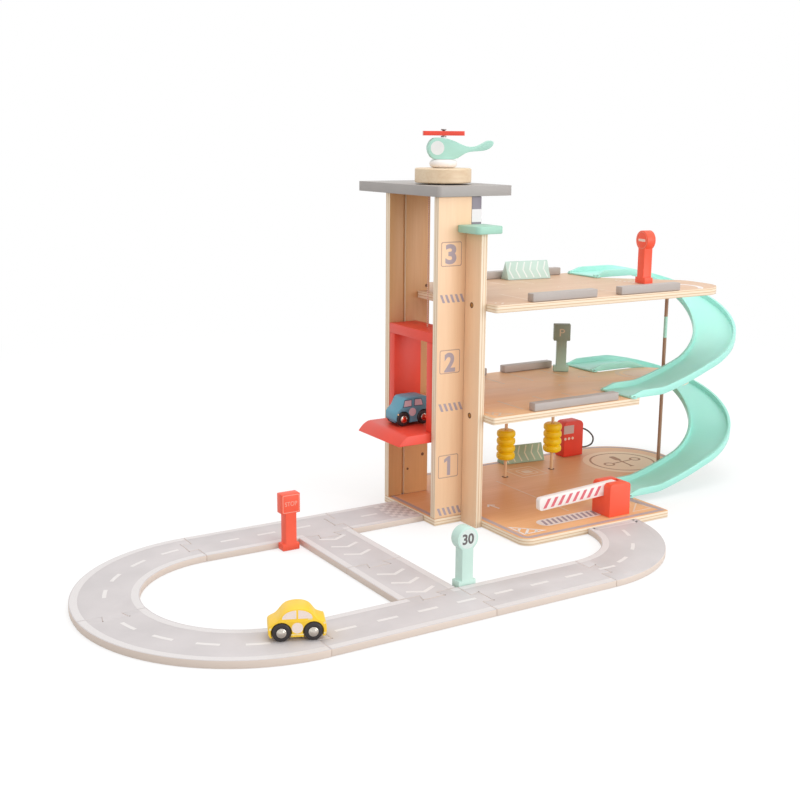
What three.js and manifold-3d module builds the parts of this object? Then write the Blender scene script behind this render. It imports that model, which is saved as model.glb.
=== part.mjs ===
// Wooden toy parking garage with a cord lift, two spiral ramps, a road loop, signs and two cars.
// Millimetres, +Z up. The origin is the middle of the lift shaft on the ground: +X runs along the
// garage towards the ramps, and -Y is the front with the barrier.
import * as THREE from 'three';
import { mergeVertices } from 'three/addons/utils/BufferGeometryUtils.js';
import Module from 'manifold-3d';

const wasm = await Module();
wasm.setup();

// Clearances
const gap = 0.3;
const runningGap = 0.3;
const overrun = 2;

// Plywood, lift tower and roof
const plyThickness = 9;
const wallThickness = 10;
const towerDepth = 60;
const frontWallDepth = 46.7;
const shaftWidth = 100;
const roofUnderside = 401;
const roofThickness = 12;
const roofLip = 3;
const roofLength = 108;
const roofWidth = 189;
const roofCorner = 6;
const grooveWidth = 4;
const grooveDepth = 4;
const grooveCentre = -8;

// Boards that carry the decks, with their caps and the striped post
const boardThickness = 9;
const boardWidth = 32;
const boardStart = 9;
const boardDrop = 42;
const capThickness = 9;
const capLip = 10;
const capOverhang = 12;
const capCorner = 6;
const capLength = 37.5;
const postWidth = 14;

// Decks, base plate and pole
const middleDeckTop = 142;
const topDeckTop = 277;
const deckFront = -112;
const deckRear = 120;
const tongueStart = 12;
const baseFront = -179;
const baseRight = 247;
const baseCorner = 14;
const baseBulgeX = 350;
const baseBulgeY = 34;
const baseInnerFillet = 30;
const smallCorner = 3;
const middleDeckRight = 252;
const middleDeckFillet = 18;
const middleDeckTurn = 50;
const topDeckRight = 402;
const topDeckCorner = 42;
const topDeckShoulder = 25;
const topDeckShoulderY = -30;
const poleX = 355;
const poleY = -44;
const poleDiameter = 5;

// Ramps
const rampCentreX = 370;
const rampCentreY = -2;
const rampReachX = 89;
const rampReachY = 82;
const rampWidth = 58;
const rampMouthX = 307;
const rampLandingX = 235;
const lowerRampShift = 2;
const rampFloor = 2.2;
const railWidth = 4;
const railHeight = 7.2;
const railTaper = 22;
const railEndShare = 0.25;
const rampFlatTopShare = 0.16;
const rampFlatFootShare = 0.12;
const rampSteps = 72;
const tabRadius = 4.5;
const mouthRest = 12;
const deckTurnClearance = 3;

// Bumper bars
const barHeight = 10;
const barDepth = 12;
const barInset = 1.5;
const topFrontBarLength = 100;
const topFrontLeftBarX = 73.5;
const topFrontRightBarX = 213;
const topRearBarX = 82;
const topRearBarLength = 209;
const middleFrontBarX = 81;
const middleFrontBarLength = 135;
const middleRearLeftBarX = 80;
const middleRearRightBarX = 196;
const middleRearBarLength = 85;

// Lift cab
const cabClearance = 0.6;
const cabBoard = 12;
const cabPlatformUnderside = 104;
const cabHeight = 135;
const cabDepth = 40;
const platformReach = 46;
const platformNose = 18;
const guideClearance = 0.5;

// Winding knob on the roof and the lift cord
const knobX = 15;
const knobRadius = 34.5;
const knobHeight = 17.5;
const knobLift = 1.8;
const knobTopWall = 5;
const knobRim = 4;
const knobBevel = 1.2;
const drumRadius = 15;
const drumFlange = 2.5;
const drumFlangeHeight = 1.6;
const boltRadius = 3;
const collarRadius = 8;
const collarHeight = 5;
const cordDiameter = 1.6;
const cordX = -5;
const cordHoleRadius = 2.2;
const cordSteps = 60;
const wrapPoints = 9;

// Helicopter
const padRadius = 17;
const padHeight = 10;
const bodyLength = 80.2;
const bodyHeight = 25.5;
const bodyThickness = 16;
const noseShare = 0.248;
const helicopterTurn = -25;
const rotorLength = 50;
const rotorBlade = 12;
const rotorCorner = 1.5;
const rotorThickness = 5.4;
const rotorSpacer = 2.4;
const screwRadius = 1.6;
const screwHead = 3.4;
const screwHeadHeight = 2;

// Car wash
const washY = 49.5;
const washLeftX = 158.5;
const washSpacing = 81.5;
const washDowel = 4.4;
const rollerRadius = 13;
const rollerNeck = 10;
const beadHeight = 10.3;
const beadCount = 4;
const rollerLift = 26;

// Fuel pump
const pumpX = 293.5;
const pumpY = 88;
const pumpWidth = 36;
const pumpDepth = 20;
const pumpHeight = 53;
const pumpCorner = 8;
const hoseDiameter = 2.4;
const hoseReach = 28;
const hoseLowZ = 9.5;
const hoseHighZ = 38.5;
const hoseSteps = 24;

// Barrier
const barrierX = 160;
const barrierY = -165;
const barrierSize = 33;
const barrierHeight = 42;
const barrierCorner = 5;
const slotWidth = 8.6;
const pivotSetback = 16;
const pivotHeight = 34.5;
const pivotRadius = 3;
const armLength = 116;
const armHeight = 16;
const armThickness = 7.4;
const armTipRadius = 4;
const armTailRadius = 7;
const armTilt = 2.8;
const pinDepth = 6;
const slotWall = 6;

// Road tiles
const roadThickness = 7.5;
const roadWidth = 71;
const frontRoadY = -294.5;
const connectingRoadX = -168.7;
const loopX = -320;
const tileEnd = -132;
const frontTileEnd = 26;
const crossJointY = -150;
const outerCurveRadius = 166;
const innerCurveRadius = 88;
const tabNeck = 20;
const tabHead = 26;
const tabLength = 11.5;
const jointGap = 0.3;

// Signs and arrow prisms
const signThickness = 13;
const signFootWidth = 21.5;
const signFootHeight = 8;
const signStemWidth = 14;
const signHead = 23.5;
const squareSignHeight = 68;
const roundSignRadius = 13;
const roundSignHeight = 71;
const speedSignFootHeight = 12;
const stopSignSetback = 5.2;
const speedSignSetback = 3.3;
const parkingSignX = 276;
const parkingSignY = 80.6;
const parkingSignTurn = -34;
const noEntrySignX = 325.5;
const noEntrySignY = -28.5;
const noEntrySignTurn = -96;
const prismLength = 68;
const prismDepth = 21;
const prismHeight = 25;
const prismTurn = -7;
const topPrismX = 217;
const topPrismY = 91.5;
const basePrismX = 228;
const basePrismY = 105;

// Car wheels
const axleRadius = 1.5;
const wellClearance = 1;
const wheelStandout = 0.5;
const hubShare = 0.52;
const hubDome = 0.8;
const tyreEdge = 1.1;

// Curve counts
const fineSegments = 32;
const roundSegments = 24;
const smallSegments = 12;
const tubeSides = 4;
const cornerSegments = 4;
const splineSegments = 2;
const boreSegments = 6;
const beadPoints = 6;
const rimPoints = 6;

const boardHeight = roofUnderside - boardDrop;
const shaftHalf = shaftWidth / 2;
const towerHalf = shaftHalf + wallThickness;
const towerBack = towerDepth / 2;
const towerFront = -towerBack;
const boardEnd = boardStart + boardThickness;
const deckStart = boardEnd + gap;
const roofTop = roofUnderside + roofThickness;
const middleDeckUnderside = middleDeckTop - plyThickness;
const rampTurn = (Math.PI * (rampReachX + rampReachY)) / 2;
const topDeckUnderside = topDeckTop - plyThickness;

const palette = {
  plywood: { color: 0xe8c79a, roughness: 0.6 },
  beech: { color: 0xe9c9a1, roughness: 0.55 },
  darkDowel: { color: 0x9a7355, roughness: 0.6 },
  greyPaint: { color: 0xb9b2b3, roughness: 0.55 },
  roadPaint: { color: 0xcfc8c6, roughness: 0.6 },
  mintPaint: { color: 0xb7e0d2, roughness: 0.5 },
  sagePaint: { color: 0x9fb6a6, roughness: 0.55 },
  mintPlastic: { color: 0x8fe6cf, roughness: 0.35 },
  redPaint: { color: 0xe14b3a, roughness: 0.45 },
  coralPaint: { color: 0xf5664b, roughness: 0.45 },
  yellowPaint: { color: 0xf7cb3a, roughness: 0.45 },
  mustardPaint: { color: 0xdba31a, roughness: 0.55 },
  bluePaint: { color: 0x5b9cb4, roughness: 0.45 },
  whitePaint: { color: 0xf2eeec, roughness: 0.5 },
  cord: { color: 0xe8d8c8, roughness: 0.9 },
  blackRubber: { color: 0x232124, roughness: 0.6 },
  steel: { color: 0xb9b4ae, roughness: 0.3, metalness: 1 },
};

const garage = new THREE.Group();

function addMesh(name, geometry, finish, parent = garage) {
  const material = new THREE.MeshStandardMaterial({ metalness: 0, ...palette[finish] });
  const mesh = new THREE.Mesh(geometry, material);
  mesh.name = name;
  parent.add(mesh);
  return mesh;
}

// A closed outline through corners [x, y, radius], each rounded with an arc of its radius.
function roundedOutline(corners) {
  const shape = new THREE.Shape();
  const count = corners.length;
  corners.forEach(([x, y, radius = 0], index) => {
    const corner = new THREE.Vector2(x, y);
    const [beforeX, beforeY] = corners[(index + count - 1) % count];
    const [afterX, afterY] = corners[(index + 1) % count];
    const before = new THREE.Vector2(beforeX, beforeY).sub(corner).normalize();
    const after = new THREE.Vector2(afterX, afterY).sub(corner).normalize();
    const turn = Math.acos(THREE.MathUtils.clamp(before.dot(after), -1, 1));
    const reach = radius / Math.tan(turn / 2);
    const start = corner.clone().addScaledVector(before, reach);
    const end = corner.clone().addScaledVector(after, reach);
    if (index === 0) shape.moveTo(start.x, start.y);
    else shape.lineTo(start.x, start.y);
    if (radius === 0) return;
    const bisector = before.clone().add(after).normalize();
    const centre = corner.clone().addScaledVector(bisector, radius / Math.sin(turn / 2));
    const clockwise = before.cross(after) > 0;
    const startAngle = start.clone().sub(centre).angle();
    const endAngle = end.clone().sub(centre).angle();
    shape.absarc(centre.x, centre.y, radius, startAngle, endAngle, clockwise);
  });
  shape.closePath();
  return shape;
}

function circleHole(x, y, radius) {
  const hole = new THREE.Path();
  hole.absarc(x, y, radius, 0, Math.PI * 2, false);
  return hole;
}

// A flat board: an outline in X and Y, raised from one height to another.
function board(shape, bottom, top, curveSegments = smallSegments) {
  const geometry = new THREE.ExtrudeGeometry(shape, {
    depth: top - bottom,
    bevelEnabled: false,
    curveSegments,
  });
  geometry.translate(0, 0, bottom);
  return geometry;
}

// A side profile drawn in X and Z, extruded along Y from one place to another.
function sideProfile(shape, startY, endY, curveSegments = smallSegments) {
  const geometry = new THREE.ExtrudeGeometry(shape, {
    depth: endY - startY,
    bevelEnabled: false,
    curveSegments,
  });
  geometry.rotateX(Math.PI / 2);
  geometry.translate(0, endY, 0);
  return geometry;
}

function box(x0, x1, y0, y1, z0, z1) {
  const geometry = new THREE.BoxGeometry(x1 - x0, y1 - y0, z1 - z0);
  geometry.translate((x0 + x1) / 2, (y0 + y1) / 2, (z0 + z1) / 2);
  return geometry;
}

// A cylinder standing along Z.
function post(x, y, bottom, top, radius, segments = roundSegments) {
  const geometry = new THREE.CylinderGeometry(radius, radius, top - bottom, segments);
  geometry.rotateX(Math.PI / 2);
  geometry.translate(x, y, (bottom + top) / 2);
  return geometry;
}

// A turned piece about Z from a closed profile of [radius, height] points.
function turned(points, segments = roundSegments) {
  const profile = points.map(([radius, height]) => new THREE.Vector2(radius, height));
  const geometry = new THREE.LatheGeometry(profile, segments);
  geometry.rotateX(Math.PI / 2);
  return geometry;
}

function toSolid(geometry) {
  const bare = geometry.clone();
  bare.deleteAttribute('normal');
  bare.deleteAttribute('uv');
  const merged = mergeVertices(bare);
  const mesh = new wasm.Mesh({
    numProp: 3,
    vertProperties: new Float32Array(merged.attributes.position.array),
    triVerts: new Uint32Array(merged.index.array),
  });
  return new wasm.Manifold(mesh);
}

function toGeometry(solid) {
  const { vertProperties, triVerts } = solid.getMesh();
  const geometry = new THREE.BufferGeometry();
  geometry.setAttribute('position', new THREE.BufferAttribute(vertProperties, 3));
  geometry.setIndex(new THREE.BufferAttribute(triVerts, 1));
  geometry.computeVertexNormals();
  return geometry;
}

function joined(...geometries) {
  const solids = geometries.map(toSolid);
  return toGeometry(solids.reduce((whole, solid) => whole.add(solid)));
}

function cutBy(geometry, ...tools) {
  return toGeometry(tools.map(toSolid).reduce((whole, tool) => whole.subtract(tool), toSolid(geometry)));
}

// Base plate and decks
function addBasePlate() {
  const bulgeRadius = deckRear - baseBulgeY;
  const bulgeFront = baseBulgeY - bulgeRadius;
  const corners = [
    [towerFront, -towerHalf],
    [deckStart, -towerHalf],
    [deckStart, baseFront, baseCorner],
    [baseRight, baseFront, smallCorner],
    [baseRight, bulgeFront, baseInnerFillet],
    [baseBulgeX + bulgeRadius, bulgeFront, bulgeRadius],
    [baseBulgeX + bulgeRadius, deckRear, bulgeRadius],
    [deckStart, deckRear, baseCorner],
    [deckStart, towerHalf],
    [towerFront, towerHalf],
  ];
  addMesh('base_plate', board(roundedOutline(corners), 0, plyThickness, fineSegments / 2), 'plywood');
}

// The edge of a deck on the tower's side: a tongue between the walls and a notch for each wall.
function deckTowerEdge() {
  const tongueHalf = shaftHalf - gap;
  const notch = towerHalf + gap;
  return [
    [deckStart, notch],
    [towerBack + gap, notch],
    [towerBack + gap, tongueHalf],
    [tongueStart, tongueHalf],
    [tongueStart, -tongueHalf],
    [towerFront + frontWallDepth + gap, -tongueHalf],
    [towerFront + frontWallDepth + gap, -notch],
    [deckStart, -notch],
  ];
}

function addDecks() {
  const mouthEdge = rampMouthX + mouthRest;
  const rampInset = rampWidth / 2 + deckTurnClearance;
  const turnFront = rampCentreY - rampReachY + rampInset;
  const turnRear = rampCentreY + rampReachY - rampInset;
  const turnRight = rampCentreX + rampReachX - rampInset;
  const middle = roundedOutline([
    [deckStart, deckFront, smallCorner],
    [middleDeckRight, deckFront, smallCorner],
    [middleDeckRight, turnFront, middleDeckFillet],
    [turnRight, turnFront, middleDeckTurn],
    [turnRight, turnRear, middleDeckTurn],
    [mouthEdge, turnRear],
    [mouthEdge, deckRear],
    [deckStart, deckRear, smallCorner],
    ...deckTowerEdge(),
  ]);
  middle.holes.push(circleHole(poleX, poleY, poleDiameter / 2 + gap));
  const top = roundedOutline([
    [deckStart, deckFront, smallCorner],
    [topDeckRight, deckFront, topDeckCorner],
    [topDeckRight, topDeckShoulderY, topDeckShoulder],
    [mouthEdge, turnRear],
    [mouthEdge, deckRear],
    [deckStart, deckRear, smallCorner],
    ...deckTowerEdge(),
  ]);
  addMesh('middle_deck', board(middle, middleDeckUnderside, middleDeckTop), 'plywood');
  addMesh('top_deck', board(top, topDeckUnderside, topDeckTop), 'plywood');
  const pole = post(poleX, poleY, plyThickness + gap, topDeckUnderside - gap, poleDiameter / 2, smallSegments);
  addMesh('deck_pole', pole, 'darkDowel');
}

// Tower walls with a groove for the cab's guides, outlines in X and Y
function wallOutline(depth, side) {
  const inner = side * shaftHalf;
  const outer = side * towerHalf;
  const grooveFloor = side * (shaftHalf + grooveDepth);
  const grooveStart = grooveCentre - grooveWidth / 2;
  const grooveEnd = grooveCentre + grooveWidth / 2;
  return roundedOutline([
    [towerFront, inner],
    [grooveStart, inner],
    [grooveStart, grooveFloor],
    [grooveEnd, grooveFloor],
    [grooveEnd, inner],
    [towerFront + depth, inner],
    [towerFront + depth, outer],
    [towerFront, outer],
  ]);
}

function addTower() {
  const bottom = plyThickness + gap;
  const top = roofUnderside - gap;
  const frontWall = board(wallOutline(frontWallDepth, -1), bottom, top);
  const rearWall = board(wallOutline(towerDepth, 1), bottom, top);
  addMesh('tower_wall_front', frontWall, 'plywood');
  addMesh('tower_wall_rear', rearWall, 'plywood');
  const postStart = towerFront + frontWallDepth + gap;
  const roofPost = box(postStart, postStart + postWidth, -towerHalf, -shaftHalf, topDeckTop + gap, top);
  addMesh('roof_post', roofPost, 'greyPaint');
  const roofStart = towerFront - roofLip;
  const roofFront = -towerHalf - roofLip;
  const roof = roundedOutline([
    [roofStart, roofFront, roofCorner],
    [roofStart + roofLength, roofFront, roofCorner],
    [roofStart + roofLength, roofFront + roofWidth, roofCorner],
    [roofStart, roofFront + roofWidth, roofCorner],
  ]);
  roof.holes.push(circleHole(knobX, 0, boltRadius + runningGap));
  roof.holes.push(circleHole(cordX, 0, cordHoleRadius));
  const counterboreTop = roofUnderside + collarHeight + gap;
  const counterbore = post(knobX, 0, roofUnderside - overrun, counterboreTop, collarRadius + gap);
  addMesh('roof_plate', cutBy(board(roof, roofUnderside, roofTop), counterbore), 'greyPaint');
}

// Support boards outside the walls, with rounded caps
function addSupportBoards() {
  const capBottom = boardHeight + gap;
  const capStart = boardStart - capOverhang;
  for (const [name, side] of [['front', -1], ['rear', 1]]) {
    const near = side * (towerHalf + gap);
    const far = side * (towerHalf + boardWidth);
    const carrier = box(boardStart, boardEnd, Math.min(near, far), Math.max(near, far), 0, boardHeight);
    addMesh(`support_board_${name}`, carrier, 'plywood');
    const capFar = far + side * capLip;
    const cap = roundedOutline([
      [capStart, near],
      [capStart, capFar, capCorner],
      [capStart + capLength, capFar, capCorner],
      [capStart + capLength, near],
    ]);
    addMesh(`cap_${name}`, board(cap, capBottom, capBottom + capThickness), 'mintPaint');
  }
}

// A ramp: a U section extruded straight, then bent along its spiral path and lowered
function rampPlace(distance, landingReach) {
  const straightIn = rampCentreX - rampMouthX;
  if (distance < straightIn) {
    return { x: rampMouthX + distance, y: rampCentreY + rampReachY, outX: 0, outY: 1 };
  }
  if (distance < straightIn + rampTurn) {
    const angle = Math.PI / 2 - ((distance - straightIn) / rampTurn) * Math.PI;
    const out = new THREE.Vector2(rampReachY * Math.cos(angle), rampReachX * Math.sin(angle)).normalize();
    const x = rampCentreX + rampReachX * Math.cos(angle);
    const y = rampCentreY + rampReachY * Math.sin(angle);
    return { x, y, outX: out.x, outY: out.y };
  }
  const along = distance - straightIn - rampTurn;
  return { x: rampCentreX - Math.min(along, landingReach), y: rampCentreY - rampReachY, outX: 0, outY: -1 };
}

function addRamp(name, startLevel, endLevel, shift) {
  const half = rampWidth / 2;
  const landingReach = rampCentreX - rampLandingX;
  const length = rampCentreX - rampMouthX + rampTurn + landingReach;
  const section = new THREE.Shape();
  section.moveTo(-half, 0);
  section.lineTo(half, 0);
  section.lineTo(half, rampFloor + railHeight);
  section.lineTo(half - railWidth, rampFloor + railHeight);
  section.lineTo(half - railWidth, rampFloor);
  section.lineTo(railWidth - half, rampFloor);
  section.lineTo(railWidth - half, rampFloor + railHeight);
  section.lineTo(-half, rampFloor + railHeight);
  section.closePath();
  const geometry = new THREE.ExtrudeGeometry(section, {
    depth: length,
    steps: rampSteps,
    bevelEnabled: false,
  });
  const position = geometry.attributes.position;
  const drop = startLevel - endLevel;
  const slopeStart = length * rampFlatTopShare;
  const slopeLength = length * (1 - rampFlatTopShare - rampFlatFootShare);
  for (let i = 0; i < position.count; i += 1) {
    const sideways = position.getX(i);
    const height = position.getY(i);
    const distance = position.getZ(i);
    const place = rampPlace(distance, landingReach);
    const slopeEnd = slopeStart + slopeLength;
    const fall = THREE.MathUtils.smootherstep(distance, slopeStart - railTaper, slopeEnd + railTaper);
    const linear = THREE.MathUtils.clamp((distance - slopeStart) / slopeLength, 0, 1);
    const progress = THREE.MathUtils.lerp(linear, fall, 1 / 2);
    const toEnd = Math.min(distance, length - distance);
    const railShare = THREE.MathUtils.lerp(railEndShare, 1, THREE.MathUtils.smoothstep(toEnd, 0, railTaper));
    const rise = height > rampFloor + gap ? rampFloor + railHeight * railShare : height;
    position.setXYZ(
      i,
      place.x + place.outX * sideways + shift,
      place.y + place.outY * sideways,
      startLevel + gap - drop * progress + rise,
    );
  }
  const tabs = [];
  const ends = [
    [rampMouthX + tabRadius, rampCentreY + rampReachY, startLevel],
    [rampLandingX + tabRadius, rampCentreY - rampReachY, endLevel],
  ];
  for (const [x, y, level] of ends) {
    for (const side of [-1, 1]) {
      const bottom = level + gap;
      tabs.push(post(x + shift, y + side * half, bottom, bottom + rampFloor, tabRadius, smallSegments));
    }
  }
  addMesh(name, joined(geometry, ...tabs), 'mintPlastic');
}

// Bumper bars along the deck edges
function addBars() {
  const frontEdge = deckFront + barInset;
  const rearEdge = deckRear - barInset - barDepth;
  const bars = [
    ['bar_top_front_left', topDeckTop, topFrontLeftBarX, topFrontBarLength, frontEdge],
    ['bar_top_front_right', topDeckTop, topFrontRightBarX, topFrontBarLength, frontEdge],
    ['bar_top_rear', topDeckTop, topRearBarX, topRearBarLength, rearEdge],
    ['bar_middle_front', middleDeckTop, middleFrontBarX, middleFrontBarLength, frontEdge],
    ['bar_middle_rear_left', middleDeckTop, middleRearLeftBarX, middleRearBarLength, rearEdge],
    ['bar_middle_rear_right', middleDeckTop, middleRearRightBarX, middleRearBarLength, rearEdge],
  ];
  for (const [name, level, start, length, edge] of bars) {
    const bottom = level + gap;
    const bar = box(start, start + length, edge, edge + barDepth, bottom, bottom + barHeight);
    addMesh(name, bar, 'greyPaint');
  }
}

// Lift cab: platform with a rounded nose, two guided side boards and a roof slab
function addCab() {
  const cab = new THREE.Group();
  const half = shaftHalf - cabClearance;
  const cabBack = towerFront + cabDepth;
  const platformTop = cabPlatformUnderside + cabBoard;
  const slabTop = cabPlatformUnderside + cabHeight;
  const slabBottom = slabTop - cabBoard;
  const noseTip = towerFront - platformReach;
  const profile = new THREE.Shape();
  profile.moveTo(cabBack, cabPlatformUnderside);
  profile.lineTo(cabBack, platformTop);
  profile.lineTo(noseTip + platformNose, platformTop);
  profile.quadraticCurveTo(noseTip + platformNose / 2, platformTop, noseTip, cabPlatformUnderside);
  profile.closePath();
  addMesh('cab_platform', sideProfile(profile, -half, half), 'redPaint', cab);
  const slab = roundedOutline([
    [towerFront, -half],
    [cabBack, -half],
    [cabBack, half],
    [towerFront, half],
  ]);
  slab.holes.push(circleHole(cordX, 0, cordDiameter / 2 + gap));
  addMesh('cab_roof', board(slab, slabBottom, slabTop), 'redPaint', cab);
  const guideStart = grooveCentre - grooveWidth / 2 + guideClearance;
  const guideEnd = grooveCentre + grooveWidth / 2 - guideClearance;
  for (const [name, side] of [['front', -1], ['rear', 1]]) {
    const inner = side * (half - cabBoard);
    const outer = side * half;
    const guide = side * (shaftHalf + grooveDepth - guideClearance);
    const outline = roundedOutline([
      [towerFront, inner],
      [cabBack, inner],
      [cabBack, outer],
      [guideEnd, outer],
      [guideEnd, guide],
      [guideStart, guide],
      [guideStart, outer],
      [towerFront, outer],
    ]);
    addMesh(`cab_side_${name}`, board(outline, platformTop + gap, slabBottom - gap), 'redPaint', cab);
  }
  garage.add(cab);
}

// Winding knob: a cup over the drum, whose bolt ends in a collar sunk in the roof's underside
const knobBottom = roofTop + knobLift;
const knobTop = knobBottom + knobHeight;
const drumTop = knobTop - knobTopWall - gap;
const drumBottom = roofTop + knobLift;

function addWinder() {
  const recessRadius = knobRadius - knobRim;
  const recessTop = knobTop - knobTopWall;
  const knob = turned([
    [0, recessTop],
    [recessRadius, recessTop],
    [recessRadius, knobBottom],
    [knobRadius - knobBevel, knobBottom],
    [knobRadius, knobBottom + knobBevel],
    [knobRadius, knobTop - knobBevel],
    [knobRadius - knobBevel, knobTop],
    [0, knobTop],
  ], fineSegments);
  knob.translate(knobX, 0, 0);
  addMesh('winding_knob', knob, 'beech');
  const flangeRadius = drumRadius + drumFlange;
  const collarBottom = roofUnderside;
  const collarTop = collarBottom + collarHeight;
  const drum = turned([
    [0, collarBottom],
    [collarRadius, collarBottom],
    [collarRadius, collarTop],
    [boltRadius, collarTop],
    [boltRadius, drumBottom],
    [flangeRadius, drumBottom],
    [flangeRadius, drumBottom + drumFlangeHeight],
    [drumRadius, drumBottom + drumFlangeHeight],
    [drumRadius, drumTop - drumFlangeHeight],
    [flangeRadius, drumTop - drumFlangeHeight],
    [flangeRadius, drumTop],
    [0, drumTop],
  ]);
  drum.translate(knobX, 0, 0);
  addMesh('winding_drum', drum, 'beech');
}

// Lift cord: up from the cab's roof, through the roof hole and half way round the drum
function addCord() {
  const cabRoofTop = cabPlatformUnderside + cabHeight;
  const wrapZ = (drumTop + drumBottom) / 2;
  const wrapRadius = drumRadius + cordDiameter / 2 + gap;
  const wrapStart = Math.PI + Math.acos(wrapRadius / (knobX - cordX));
  const route = [
    new THREE.Vector3(cordX, 0, cabRoofTop - cabBoard / 2),
    new THREE.Vector3(cordX, 0, cabRoofTop),
    new THREE.Vector3(cordX, 0, roofUnderside),
    new THREE.Vector3(cordX, 0, roofTop),
    new THREE.Vector3(cordX, 0, wrapZ - cordDiameter),
  ];
  for (let i = 0; i <= wrapPoints; i += 1) {
    const angle = wrapStart + (i / wrapPoints) * Math.PI;
    const x = knobX + wrapRadius * Math.cos(angle);
    route.push(new THREE.Vector3(x, wrapRadius * Math.sin(angle), wrapZ));
  }
  const path = new THREE.CatmullRomCurve3(route, false, 'centripetal');
  addMesh('lift_cord', roundTube(path, cordDiameter / 2, cordSteps), 'cord');
}

// A round tube swept along a path.
function roundTube(path, radius, steps) {
  const section = new THREE.Shape();
  section.absarc(0, 0, radius, 0, Math.PI * 2, false);
  return new THREE.ExtrudeGeometry(section, {
    extrudePath: path,
    steps,
    curveSegments: tubeSides,
    bevelEnabled: false,
  });
}

// Helicopter on its pad, standing on the knob
function addHelicopter() {
  const padBottom = knobTop + gap;
  const bulge = padHeight / 2;
  const rim = [];
  for (let i = 0; i <= rimPoints; i += 1) {
    const angle = (i / rimPoints - 1 / 2) * Math.PI;
    rim.push([padRadius - bulge + bulge * Math.cos(angle), padBottom + bulge + bulge * Math.sin(angle)]);
  }
  const pad = turned([[0, padBottom], ...rim, [0, padBottom + padHeight]]);
  pad.translate(knobX, 0, 0);
  addMesh('helicopter_pad', pad, 'whitePaint');

  const bottom = padBottom + padHeight + gap;
  const top = bottom + bodyHeight;
  const nose = -bodyLength * noseShare;
  const points = helicopterShares.map(([along, up]) => (
    new THREE.Vector2(nose + along * bodyLength, bottom + up * bodyHeight)
  ));
  const outline = new THREE.Shape();
  outline.moveTo(points[0].x, points[0].y);
  outline.splineThru(points.slice(1));
  outline.closePath();
  const helicopter = new THREE.Group();
  const half = bodyThickness / 2;
  addMesh('helicopter_body', sideProfile(outline, -half, half, splineSegments), 'mintPaint', helicopter);

  const rotorBottom = top + rotorSpacer;
  const reach = rotorLength / 2;
  const blade = roundedOutline([
    [-reach, -rotorBlade / 2, rotorCorner],
    [reach, -rotorBlade / 2, rotorCorner],
    [reach, rotorBlade / 2, rotorCorner],
    [-reach, rotorBlade / 2, rotorCorner],
  ]);
  blade.holes.push(circleHole(0, 0, screwRadius + runningGap));
  const rotor = board(blade, 0, rotorThickness, boreSegments);
  addMesh('helicopter_rotor', rotor, 'redPaint', helicopter).position.z = rotorBottom;
  const headBottom = rotorBottom + rotorThickness + gap;
  const headTop = headBottom + screwHeadHeight;
  const screw = turned([
    [0, top + gap],
    [screwHead, top + gap],
    [screwHead, rotorBottom - gap],
    [screwRadius, rotorBottom - gap],
    [screwRadius, headBottom],
    [screwHead, headTop - screwHeadHeight / 2],
    [screwHead, headTop],
    [0, headTop],
  ], smallSegments);
  addMesh('rotor_screw', screw, 'steel', helicopter);
  helicopter.rotation.z = THREE.MathUtils.degToRad(helicopterTurn);
  helicopter.position.x = knobX;
  garage.add(helicopter);
}

// The helicopter's side outline as shares of its length and height, from under the nose round by the tail.
const helicopterShares = [
  [0.1, 0], [0.25, 0], [0.42, 0.01], [0.5, 0.14], [0.58, 0.29], [0.67, 0.36], [0.77, 0.38], [0.87, 0.42],
  [0.94, 0.51], [0.985, 0.64], [1, 0.78], [0.975, 0.86], [0.93, 0.87], [0.87, 0.78], [0.79, 0.65],
  [0.72, 0.59], [0.63, 0.585], [0.53, 0.665], [0.43, 0.81], [0.33, 0.92], [0.22, 0.985], [0.14, 1],
  [0.08, 0.96], [0.03, 0.82], [0.003, 0.62], [0, 0.48], [0.015, 0.28], [0.05, 0.1],
];

// Car wash: two beaded rollers that spin on dowels
function addCarWash() {
  const rollerBottom = plyThickness + rollerLift;
  const bore = washDowel / 2 + runningGap;
  for (const [name, x] of [['left', washLeftX], ['right', washLeftX + washSpacing]]) {
    const dowel = post(x, washY, plyThickness + gap, middleDeckUnderside - gap, washDowel / 2, smallSegments);
    addMesh(`wash_dowel_${name}`, dowel, 'beech');
    const profile = [];
    for (let bead = 0; bead < beadCount; bead += 1) {
      for (let i = 0; i < beadPoints; i += 1) {
        const share = i / beadPoints;
        const swell = Math.sqrt(Math.max(0, 1 - (2 * share - 1) ** 2));
        profile.push([
          rollerNeck + (rollerRadius - rollerNeck) * swell,
          rollerBottom + (bead + share) * beadHeight,
        ]);
      }
    }
    const rollerTop = rollerBottom + beadCount * beadHeight;
    profile.push([rollerNeck, rollerTop]);
    const roller = turned([[bore, rollerBottom], ...profile, [bore, rollerTop], [bore, rollerBottom]]);
    roller.translate(x, washY, 0);
    addMesh(`wash_roller_${name}`, roller, 'mustardPaint');
  }
}

// Fuel pump with its hose loop
function addFuelPump() {
  const bottom = plyThickness + gap;
  const face = roundedOutline([
    [pumpX, bottom],
    [pumpX + pumpWidth, bottom],
    [pumpX + pumpWidth, bottom + pumpHeight, pumpCorner],
    [pumpX, bottom + pumpHeight, pumpCorner],
  ]);
  addMesh('pump_body', sideProfile(face, pumpY, pumpY + pumpDepth, cornerSegments), 'redPaint');
  const sideX = pumpX + pumpWidth + gap;
  const hoseY = pumpY + pumpDepth / 2;
  const rise = hoseHighZ - hoseLowZ;
  const route = hoseShares.map(([out, up]) => (
    new THREE.Vector3(sideX + out * hoseReach, hoseY, plyThickness + hoseLowZ + up * rise)
  ));
  const path = new THREE.CatmullRomCurve3(route, false, 'centripetal');
  addMesh('pump_hose', roundTube(path, hoseDiameter / 2, hoseSteps), 'blackRubber');
}

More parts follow.
